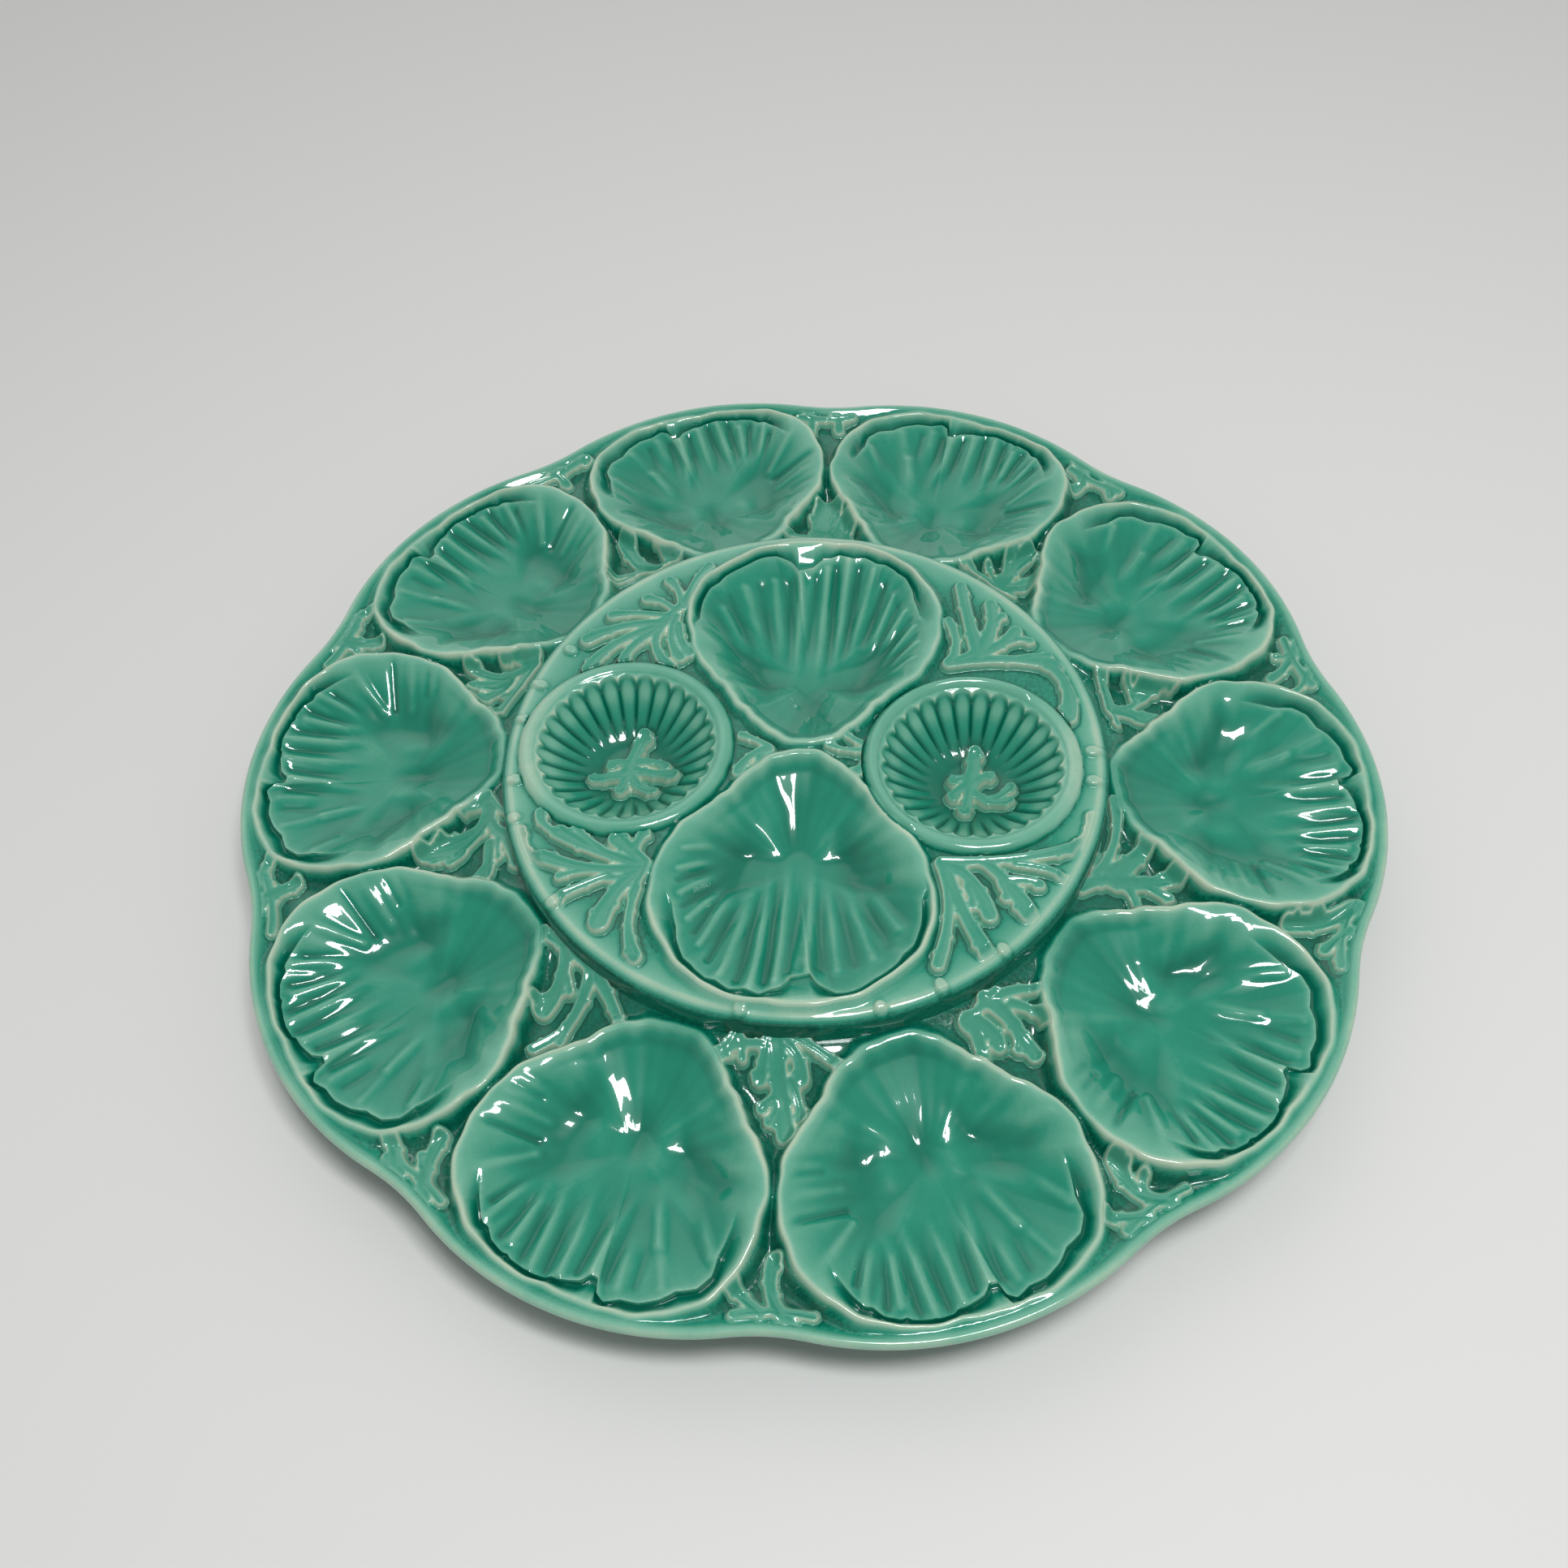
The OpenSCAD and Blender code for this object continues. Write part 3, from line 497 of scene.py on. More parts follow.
class Pad(Enum):
    """Where a spray lies, and so how tall its fronds stand."""
    GROUND = 2.5
    RIM = 1.8
    TOP = 2.6
    CUP = 3.4


@dataclass(frozen=True)
class Spray:
    """Fronds that grow together, drawn in a frame turned about the plate's axis and moved."""
    node: str
    fronds: tuple[Frond, ...]
    pad: Pad
    turn: float = 0.0
    place: Pair = (0.0, 0.0)
    swell: float = 0.0
    web: float = 1.1
    shoulder: float = 1.2
    dish: float = 0.45

    def distance(self, x: Array, y: Array) -> Array:
        """Signed distance to the joined fronds, negative on them.

        Args:
            x: Places along X.
            y: Places along Y.

        Returns:
            Distances in millimetres.
        """
        u, v = turned(x - self.place[0], y - self.place[1], -self.turn)
        best = np.full(x.shape, 1e3)
        for frond in self.fronds:
            path = frond.path()
            wide = path[:, 2].max() + 4.0
            low, high = path[:, :2].min(0) - wide, path[:, :2].max(0) + wide
            near = (u > low[0]) & (u < high[0]) & (v > low[1]) & (v < high[1])
            here = along_chain(path, u[near], v[near])[0]
            for lx, ly, lr in frond.lobes():
                here = soft_min(here, np.hypot(u[near] - lx, v[near] - ly) - lr, 0.5)
            best[near] = soft_min(best[near], here - self.swell, self.web)
        return best

    def rise(self, d: Array) -> Array:
        """Height of a frond above what carries it, from the distance to its outline."""
        tall = self.pad.value
        return tall * smooth(0.0, self.shoulder, -d) - self.dish * smooth(1.2, 3.0, -d)

    def box(self) -> tuple[float, float, float, float]:
        """Lowest and highest plan coordinates, with a margin.

        Returns:
            Low X, low Y, high X and high Y.
        """
        pts = np.vstack([f.path() for f in self.fronds])
        x, y = turned(pts[:, 0], pts[:, 1], self.turn)
        x, y = x + self.place[0], y + self.place[1]
        m = 1.5 * pts[:, 2].max() + 1.5
        return x.min() - m, y.min() - m, x.max() + m, y.max() + m

    def near(self, x: Array, y: Array) -> Array:
        """Which places lie in the box."""
        x0, y0, x1, y1 = self.box()
        return (x > x0) & (x < x1) & (y > y0) & (y < y1)


# The pressed surface of the whole plate

BUDS = ((-80.5, 39.5), (-88.3, 24.2), (-91.0, 9.5), (-90.5, -14.5), (-89.0, -29.0), (-72.0, -59.0),
        (-13.0, -91.8), (27.0, -90.0), (44.0, -82.0), (62.0, -69.5), (91.0, -8.0), (91.2, 3.5))


def lobe_place(lobe: int) -> float:
    """Turn that brings a lobe's own frame, +Y outwards, to its place on the plate."""
    return SIZE.pitch * (lobe - 1) - 90.0


@dataclass(frozen=True)
class PressedPlate:
    """Heights of the plate's top over its plan, without the weed."""
    skirt_h: float = 8.0
    skirt_w: float = 20.0
    slope_h: float = 3.6
    slope_from: float = 2.5
    slope_to: float = 12.0
    wall_spread: float = 2.3
    roll_spread: float = 1.9
    lip_spread: float = 1.9
    bud_h: float = 1.35
    bud_long: float = 3.3
    bud_wide: float = 2.5
    flare_at: tuple[float, ...] = (0.0, 3.0, 13.0, 28.0)
    flare_share: tuple[float, ...] = (0.66, 0.52, 0.2, 0.0)

    def rim_distance(self, x: Array, y: Array) -> Array:
        """Signed distance to the lobed outer edge, negative on the plate.

        Args:
            x: Places along X.
            y: Places along Y.

        Returns:
            Distances in millimetres.
        """
        pitch = math.radians(SIZE.pitch)
        a = np.arctan2(y, x)
        a = np.abs((a + pitch / 2.0) % pitch - pitch / 2.0)
        r = np.hypot(x, y)
        px, py = r * np.cos(a), r * np.sin(a)
        ax = SIZE.lobe_axis
        own = np.hypot(px - ax, py)
        nxt = np.hypot(px - ax * math.cos(pitch), py - ax * math.sin(pitch))
        return soft_min(own, nxt, SIZE.notch_blend) - (SIZE.plate_r - ax)

    def nearest_lobe(self, x: Array, y: Array) -> Array:
        """Number of the lobe that each place belongs to, counted from 0."""
        return np.rint(np.degrees(np.arctan2(y, x)) / SIZE.pitch).astype(int) % SIZE.lobes

    def in_lobe(self, x: Array, y: Array, lobe: Array) -> tuple[Array, Array]:
        """Plan coordinates in the frame of a lobe for each place.

        Args:
            x: Places along X.
            y: Places along Y.
            lobe: Number of the lobe, counted from 0.

        Returns:
            Places across and outwards in the lobe.
        """
        a = np.radians(90.0 - SIZE.pitch * lobe)
        c, s = np.cos(a), np.sin(a)
        return x * c - y * s, x * s + y * c

    def ground(self, x: Array, y: Array) -> Array:
        """Height of the stippled ground: a skirt up to the centre and a slope up to the rim.

        Args:
            x: Places along X.
            y: Places along Y.

        Returns:
            Heights in millimetres.
        """
        r = np.hypot(x, y)
        off = -self.rim_distance(x, y)
        skirt = self.skirt_h * (1.0 - smooth(SIZE.centre_r - 0.5, SIZE.centre_r + self.skirt_w, r))
        return SIZE.ground_h + skirt + self.slope_h * (1.0 - smooth(self.slope_from, self.slope_to, off))

    def ring_lips(self, x: Array, y: Array) -> tuple[Array, Array]:
        """Distance outside the nearest ring lip, and the walls' height above the ground.

        Args:
            x: Places along X.
            y: Places along Y.

        Returns:
            Distances and heights in millimetres.
        """
        base = self.ground(x, y)
        lobe = self.nearest_lobe(x, y)
        nearest = np.full(x.shape, 1e3)
        power = np.zeros(x.shape)
        for step in (-1, 0, 1):
            u, v = self.in_lobe(x, y, lobe + step)
            off, lift = RING_LIP.off_lip(u, v)
            wall = np.maximum(SIZE.rim_h + lift - base, 0.2)
            wall = wall * np.exp(-(np.maximum(off, 0.0) / self.wall_spread) ** 2)
            power = power + wall * wall
            nearest = np.minimum(nearest, off)
        return nearest, np.sqrt(power)

    def annulus(self, x: Array, y: Array) -> Array:
        """Top between the raised centre and the rim's crest, outside the ring wells' lips.

        Args:
            x: Places along X.
            y: Places along Y.

        Returns:
            Heights in millimetres.
        """
        base = self.ground(x, y)
        off = np.maximum(-self.rim_distance(x, y) - SIZE.roll_w / 2.0, 0.0)
        roll = (SIZE.rim_h - base) * np.exp(-(off / self.roll_spread) ** 2)
        walls = self.ring_lips(x, y)[1]
        return base + np.sqrt(roll * roll + walls * walls)

    def ring_well(self, u: Array, v: Array) -> Array:
        """Top of a ring well and its outer flank, in its lobe's own frame.

        Args:
            u: Places across the lobe.
            v: Places outwards in the lobe.

        Returns:
            Heights in millimetres.
        """
        off = RING_LIP.off_lip(u, v)[0]
        x, y = turned(u, v, lobe_place(1))
        return np.where(off <= 0.0, RING_SHELL.hollow(u, v), self.annulus(x, y))

    def ring_under(self, u: Array, v: Array) -> Array:
        """The plate's flared underside, in a lobe's own frame."""
        return self.underside(*turned(u, v, lobe_place(1)))

    def plateau(self, x: Array, y: Array) -> Array:
        """Top of the raised centre with the skirts of its wells.

        Args:
            x: Places along X.
            y: Places along Y.

        Returns:
            Heights in millimetres.
        """
        total = np.zeros(x.shape)
        for sign in (1.0, -1.0):
            off, lift = CENTRE_LIP.off_lip(sign * x, sign * y)
            total = total + (lift * np.exp(-(np.maximum(off, 0.0) / self.lip_spread) ** 2)) ** 2
        for bx, by in BUDS:
            c, s = bx / math.hypot(bx, by), by / math.hypot(bx, by)
            along, across = (x - bx) * c + (y - by) * s, (y - by) * c - (x - bx) * s
            away = np.hypot(along / self.bud_long, across / self.bud_wide)
            total = total + (self.bud_h * (1.0 - smooth(0.5, 1.0, away))) ** 2
        return SIZE.centre_h + np.sqrt(total)

    def centre_well(self, x: Array, y: Array) -> Array:
        """Top of the back centre well and its outer flank."""
        off = CENTRE_LIP.off_lip(x, y)[0]
        return np.where(off <= 0.0, CENTRE_SHELL.hollow(x, y), self.plateau(x, y))

    def underside(self, x: Array, y: Array) -> Array:
        """Flared underside, from the foot up to the rim's roll.

        Args:
            x: Places along X.
            y: Places along Y.

        Returns:
            Heights in millimetres.
        """
        off = -self.rim_distance(x, y)
        rise = SIZE.rim_h - SIZE.under_h
        return SIZE.under_h + rise * np.interp(off, self.flare_at, self.flare_share)

    def centre_lips(self, x: Array, y: Array) -> Array:
        """Distance outside the nearer lip of the two centre wells."""
        return np.minimum(CENTRE_LIP.off_lip(x, y)[0], CENTRE_LIP.off_lip(-x, -y)[0])

    def centre_flat(self, x: Array, y: Array) -> Array:
        """The flat underside of the centre's top."""
        return np.full(x.shape, SIZE.centre_under)


PLATE = PressedPlate()


@dataclass(frozen=True)
class CupPress:
    """The pressed bowl of a sauce cup: petals with sharp ribs between, under a rolled edge."""
    node: str
    inner_r: float = 28.5
    outer_r: float = 35.0
    depth: float = 13.0
    petals: int = 28
    petal_depth: float = 1.5
    rib_from: float = 12.0
    rib_to: float = 21.0
    floor_r: float = 9.0
    bead: Pair | None = None

    @property
    def place(self) -> Pair:
        """Centre of the cup in plan."""
        low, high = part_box(self.node)
        return 0.5 * (low[0] + high[0]) / MM, 0.5 * (low[1] + high[1]) / MM

    @property
    def edge_h(self) -> float:
        """Height of the rolled edge."""
        return edge_mm(self.node, 2)

    @property
    def floor_h(self) -> float:
        """Height of the bowl's floor."""
        return SIZE.centre_h - self.depth

    def bowl(self, r: Array) -> Array:
        """Height of the bowl without its petals."""
        climb = np.clip((r - self.floor_r) / (self.inner_r - self.floor_r), 0.0, 1.0) ** 1.5
        return self.floor_h + (SIZE.centre_h - self.floor_h) * climb

    def polar(self, x: Array, y: Array) -> tuple[Array, Array]:
        """Distance from the cup's axis and angle in radians."""
        dx, dy = x - self.place[0], y - self.place[1]
        return np.hypot(dx, dy), np.arctan2(dy, dx)

    def across(self, angle: Array) -> Array:
        """Share of the way from the middle of a petal to the rib beside it."""
        return np.abs(2.0 * ((angle * self.petals / (2.0 * math.pi)) % 1.0) - 1.0)

    def height(self, r: Array, angle: Array) -> Array:
        """Top of the cup at a distance from its axis and an angle in radians.

        Args:
            r: Distances from the cup's axis.
            angle: Angles in radians.

        Returns:
            Heights in millimetres.
        """
        across = self.across(angle)
        tip = self.inner_r - 0.4 - 1.9 * across ** 2.0
        band = 0.5 * (self.outer_r - self.inner_r)
        rib = self.petal_depth * (0.4 - across ** 2.6) * smooth(self.rib_from, self.rib_to, r)
        roll_at = (r - self.inner_r - band) / band
        roll = self.edge_h - band + band * np.sqrt(np.clip(1.0 - roll_at ** 2, 0.0, 1.0))
        inside = self.bowl(r) + rib
        over = smooth(0.0, 1.2, r - tip)
        inner = SIZE.centre_h + 0.2 + 1.4 * smooth(-2.6, 1.2, r - self.inner_r)
        lip = np.where(r < self.inner_r + 0.35 * band, inner, roll)
        return inside * (1.0 - over) + np.maximum(lip, inside) * over


CUPS = (CupPress("sauce_cup_left"), CupPress("sauce_cup_right", bead=(52.0, 238.0)))


# Weed, as read along each gap: the fronds between two wells' narrow ends, then those at the rim

def fronds(*rows: Sequence[float]) -> tuple[Frond, ...]:
    """Fronds from rows of eight numbers."""
    return tuple(Frond(*row) for row in rows)


MOULD_TURN = 1.6
FIRST_ROW = 3
GAP_WEED = (
    ((5, 106, 1, 115, 5, 124, 11, 9), (4, 116, 4, 123, 3, 126, 6, 5), (6, 114, 9, 120, 9, 125, 6, 5),
     (11, 106, 9, 113, 12, 118, 9, 7), (11, 108, 14, 114, 17, 117, 6, 5),
     (4, 106, -8, 110, -17, 108, 5, 5), (-8, 107, -13, 109, -14, 110, 4, 4),
     (2, 105, 8, 105, 14, 105, 4, 4)),
    ((5, 106, 2, 118, 4, 128, 8, 7), (2, 118, -1, 122, -1, 125, 6, 5), (3, 108, -2, 111, -4, 114, 4, 4.5),
     (8, 106, 9, 114, 13, 119, 8, 7), (10, 110, 14, 114, 16, 115, 5, 5),
     (5, 105, -8, 109, -17, 108, 5, 5), (-10, 106, -14, 109, -15, 110, 4, 4),
     (3, 105, 8, 105, 12, 105, 4, 4)),
    ((7, 105, 4, 114, 0, 119, 5, 5), (0, 117, -2, 123, 0, 129, 8, 6.5), (-1, 118, -6, 120, -6, 123, 5, 5),
     (0, 117, -4.5, 113.5, -8, 116, 4, 4), (6, 106, 7, 113, 11, 118, 7, 7),
     (9, 113, 13, 118, 18, 117, 6, 5), (6, 104, -8, 107, -19, 108, 6, 5),
     (-8, 107, -12, 110, -13, 110.5, 4, 4), (4, 104, 8, 104, 12, 104, 4, 4)),
    ((9, 104, 3, 115, -3, 123, 7, 7), (3, 113, 6, 118, 6, 121, 6, 5), (8, 108, 12, 114, 19, 115, 5, 6),
     (7, 103, -4, 110, -15, 112, 8, 6), (-10, 110, -15, 112, -15, 116, 6, 4),
     (-10, 110, -17, 109, -18, 107, 6, 5), (10, 98, -4, 104, -19, 97, 5, 5),
     (16, 95, 11, 99, 8, 105, 6, 6), (18, 92, 0, 99, -10, 92, 4, 4)),
    ((4, 99, -1, 108, 1, 119, 7, 6), (0, 109, 3, 114, 4, 115, 5, 4), (-2, 104, -8, 108, -8, 114, 5, 5),
     (12, 102, 6, 107, 8, 111, 8, 6), (11, 104, 13, 108, 14, 112, 7, 5.5),
     (2, 100, -14, 102, -17, 113, 5, 5), (0, 99, 8, 101, 13, 101, 5, 5)),
    ((6, 95, 5, 106, 2, 123, 8, 7), (4, 112, 8, 113, 9, 115, 6, 5), (3, 113, 6, 118, 7, 119, 6, 4.5),
     (1, 108, -2, 113, -2, 118, 5, 5), (5, 96, -2, 100, -2, 107, 5, 6), (8, 97, 9, 104, 10, 107, 5, 6),
     (16, 92, 17, 98, 24, 104, 6, 6), (16, 97, 15, 100, 15, 102, 5, 4), (20, 100, 25, 101, 27, 101, 5, 4),
     (2, 95, -8, 100, -14, 105, 5, 5), (2, 93, -6, 92, -9, 89.5, 4, 5),
     (4, 99, 11, 97.5, 19, 98.5, 5, 5)),
    ((5, 97, -2, 110, 5, 124, 6, 5), (2, 113, 0, 116, 0, 118, 5, 4), (19, 93, 9, 102, 11, 113, 6, 7),
     (11, 109, 14, 111, 14.5, 112, 6, 5), (10, 103, 8, 104, 7, 105, 5, 4),
     (3, 97, -8, 101, -16, 107, 6, 5), (26, 95, 24, 100, 23, 105, 4, 4.5),
     (4, 97, 14, 95, 26, 95.5, 5, 5.5), (4, 94, -4, 95, -10, 93, 4, 4)),
    ((14, 101, 4, 107, 8, 124, 7, 7), (6, 115, 5, 120, 5, 122, 6, 4), (5, 112, 3, 115, 3, 117, 5, 4),
     (10, 108, 11, 113, 10, 118, 6, 6), (20, 101, 18, 107, 20, 111, 7, 6),
     (20, 107, 23, 110, 25, 111, 6, 5), (2, 103, -10, 106, -17, 109, 6, 5),
     (-6, 106, -7, 110, -7, 114, 7, 4), (4, 98, -4, 97, -9, 96, 5, 5), (2, 100, -2, 101, -4, 101, 4, 3.5),
     (3, 98, 8, 102, 16, 101, 6, 6), (18, 99, 10, 97, 10, 93, 4, 4.5)),
    ((13, 104, 5, 112, 8, 126, 8, 5), (5, 110, 3, 118, 2, 122, 8, 5), (3, 110, -1, 113, -3, 117, 7, 6),
     (16, 106, 19, 112, 19, 118, 9, 6), (17, 109, 15, 113, 14, 115, 6, 5),
     (19, 110, 23, 111, 24, 113, 6, 5), (13, 103, -4, 104, -16, 108.5, 6, 5.5),
     (-7, 106, -11, 109, -12, 110, 5, 4), (0, 105, -1, 107, -1, 108.5, 5, 4),
     (12, 103, 16, 104, 18, 106, 5, 6)),
    ((8, 107, 4, 116, 7, 127, 8, 7), (17, 108, 16, 114, 18.5, 119, 8, 8),
     (8, 108, -3, 112, -8, 116, 5, 4.5), (0, 109, -10, 110, -14, 112, 4, 5),
     (6, 107, 12, 107, 19, 109, 4, 5)))
RIM_BAND = (-7, 173.5, 3.6, 171.3, 14, 173.5, 4.5, 4.5)
RIM_WEED = (
    ((-5, 178, -1, 173, -2, 167, 5, 5), (4, 178, 9, 174, 9, 168, 5, 5)),
    ((-7, 178, 2, 173, -1, 166, 6, 6), (3, 179, 10, 175, 12, 171, 5, 5)),
    ((-4, 177, 4, 171, 6, 163, 5.5, 5), (0, 172, -1, 170, -2, 168.5, 4, 4),
     (7, 177, 13, 172, 14, 167, 5, 4)),
    ((-8, 175, 1, 168, 4, 157, 7, 6), (0, 165, -3, 163, -4, 161.5, 6, 5),
     (1, 175, 4, 171, 9, 168.5, 5, 5)),
    ((-1, 174, 7, 167, 3, 156, 6, 6.5), (3, 168, 1, 166, 0, 164, 5, 4), (7, 174, 13, 169, 16, 167, 5, 6)),
    ((-1, 176, 7, 168, 4, 158, 6, 5.5), (7, 173, 12, 168, 16, 165, 5, 6)),
    ((-3, 176, 5, 170, 7, 160, 6, 6), (5, 169, 7, 168, 8, 167, 5, 4), (8, 175, 15, 170, 20, 168, 6, 6)),
    ((2, 178, 8, 172, 10, 165, 7, 6), (10, 178, 17, 173, 21, 171, 5, 5)),
    ((0, 179, 5, 173, 9, 163, 7, 6), (6, 175, 9, 174, 11, 173, 5, 4), (4, 171, 3, 169, 3, 168, 5, 4),
     (9, 179, 16, 174, 21, 171, 6, 5)),
    ((0, 179, 5, 173, 5, 167, 6, 5), (4, 175, 7, 174, 8, 172.5, 5, 4), (9, 179, 15, 174, 17, 173, 5, 6)))
TOP_WEED = {
    "centre_weed_back_left": (
        (-44, 58, -43, 70, -37, 78, 4, 4.5), (-45, 60, -46, 67, -50, 70.5, 4, 5),
        (-47, 57, -52, 62, -57, 62, 4, 5), (-48, 54, -60, 56, -68, 54, 4, 5),
        (-50, 51, -64, 51, -75, 43, 5, 6), (-52, 49, -68, 43, -73, 30, 5, 6),
        (-52, 48, -63, 39, -62, 31, 5, 5.5), (-48, 54, -57, 42, -46, 32, 5, 5),
        (-46, 54, -49, 43, -43, 36, 4.5, 5), (-45, 50, -44, 42, -40, 38, 5, 5),
        (-43, 62, -48, 54, -56, 47, 5, 4)),
    "centre_weed_back_right": (
        (56, 40, 52, 56, 50, 71, 7, 5), (57, 43, 62, 54, 60, 63, 7, 5.5), (60, 53, 63, 57, 64, 58, 5, 4),
        (56, 41, 64, 44, 68, 51, 6, 6), (66, 47, 70, 48, 73, 47, 5, 4), (46, 36.5, 66, 41, 81, 37, 5, 6),
        (70, 39, 76, 41, 79, 41, 5, 4), (47, 38, 50, 46, 46, 55, 5, 4.5), (54, 41, 50, 38, 46, 37, 5, 5),
        (78, 37, 87, 30, 84, 16, 5, 7)),
    "centre_weed_front_left": (
        (-46, -46, -62, -42, -73, -35, 5, 6.5), (-60, -41, -66, -36, -68, -33, 5, 4),
        (-46, -47, -62, -50, -77, -44, 5, 6), (-62, -48, -68, -50, -71, -51, 4, 4),
        (-46, -45, -50, -41, -55, -37, 6, 7), (-50, -41, -48, -37, -47, -34, 5, 5),
        (-47, -48, -54, -54, -57, -66, 6, 7.5), (-46, -47, -47, -52, -48, -57, 5, 4),
        (-56, -50, -68, -56, -75, -61, 4, 6), (-47, -54, -50, -68, -45, -77, 4, 5.5),
        (-56, -51, -52, -51, -48, -50, 4, 4), (-70, -37, -80, -34, -80, -28, 4, 5),
        (-76, -44, -84, -44, -86, -34, 4, 5)),
    "centre_weed_front_right": (
        (44, -42, 54, -44, 58, -59, 6, 6), (52, -50, 53, -53, 53, -56, 5, 4),
        (45, -44, 49, -58, 57, -71, 6, 6), (45, -45, 48, -60, 43, -76, 5, 5),
        (57, -41, 64, -47, 69, -57, 5, 7), (62, -48, 63, -51, 63, -53, 5, 4),
        (64, -47, 70, -46, 73, -48, 5, 4.5), (44, -41, 64, -41, 82, -35, 5, 5),
        (80, -36, 90, -30, 90, -22, 4, 5), (66, -41, 82, -42, 86, -50, 4, 5),
        (84, -46, 82, -54, 76, -61, 4, 5)),
    "middle_weed_left": (
        (-11, 0, -15, 3, -20, 4.5, 4, 4), (-11, -1, -18, -3, -20, -10, 5, 5),
        (-13, -2, -14, -9, -12, -14, 5, 6)),
    "middle_weed_right": (
        (21, 1, 14, 5.5, 9, 8, 4, 4), (21, 0, 13, -1, 8, 1.5, 4, 3.5), (20, 2, 22, -5, 16, -10, 4.5, 5),
        (20, 0, 24, 8, 25, 13, 4.5, 5.5))}
CUP_WEED = {
    "cup_sprig_left": (
        (0, -1, 2, 8, 3.5, 11.5, 6, 6.5), (1, 1, 8, 3, 12, -0.5, 5, 4.5),
        (0, -2, 9, -2.4, 15, -5, 5, 5.5), (0, -3, 3, -9, 9, -11, 6, 5), (0, -3, -1, -8, -2, -10.5, 6, 5),
        (1, -3, -7, -5, -11, -6.5, 6, 5), (1, -1, -4, 3, -6, -0.5, 5, 5)),
    "cup_sprig_right": (
        (0, -1, 1, 7, 1.5, 11.5, 7, 6), (1, 0, 5, 3, 6.5, 3, 5, 5), (1, 1, -3, 2.5, -5.5, 0.5, 4.5, 5),
        (0, -1, -5, -3, -5.5, -6, 5, 5), (0, -2, -1, -8, -2, -12, 5, 5.5), (0, -3, 6, -9, 12, -8, 5, 5),
        (5, -7, 11, -5, 12.5, -2, 5, 5))}


def gap_place(gap: int) -> float:
    """Turn that brings a gap's own frame, +Y outwards, to its place on the plate."""
    return SIZE.pitch * (gap - 0.5) - 90.0 + MOULD_TURN


def all_sprays() -> list[Spray]:
    """Every spray of weed with the node that it stands for.

    Returns:
        The sprays, ring and rim first.
    """
    found = []
    for gap in range(1, SIZE.lobes + 1):
        row = (FIRST_ROW - gap) % SIZE.lobes
        turn = gap_place(gap)
        found.append(Spray(f"weed_spray_{gap:02d}", fronds(*GAP_WEED[row]), Pad.GROUND, turn))
        found.append(Spray(f"rim_weed_{gap:02d}", fronds(*RIM_WEED[row], RIM_BAND), Pad.RIM, turn))
    for node, rows in TOP_WEED.items():
        found.append(Spray(node, fronds(*rows), Pad.TOP, swell=0.15))
    for cup, (node, rows) in zip(CUPS, CUP_WEED.items()):
        found.append(Spray(node, fronds(*rows), Pad.CUP, place=cup.place, swell=0.2, shoulder=1.5))
    return found


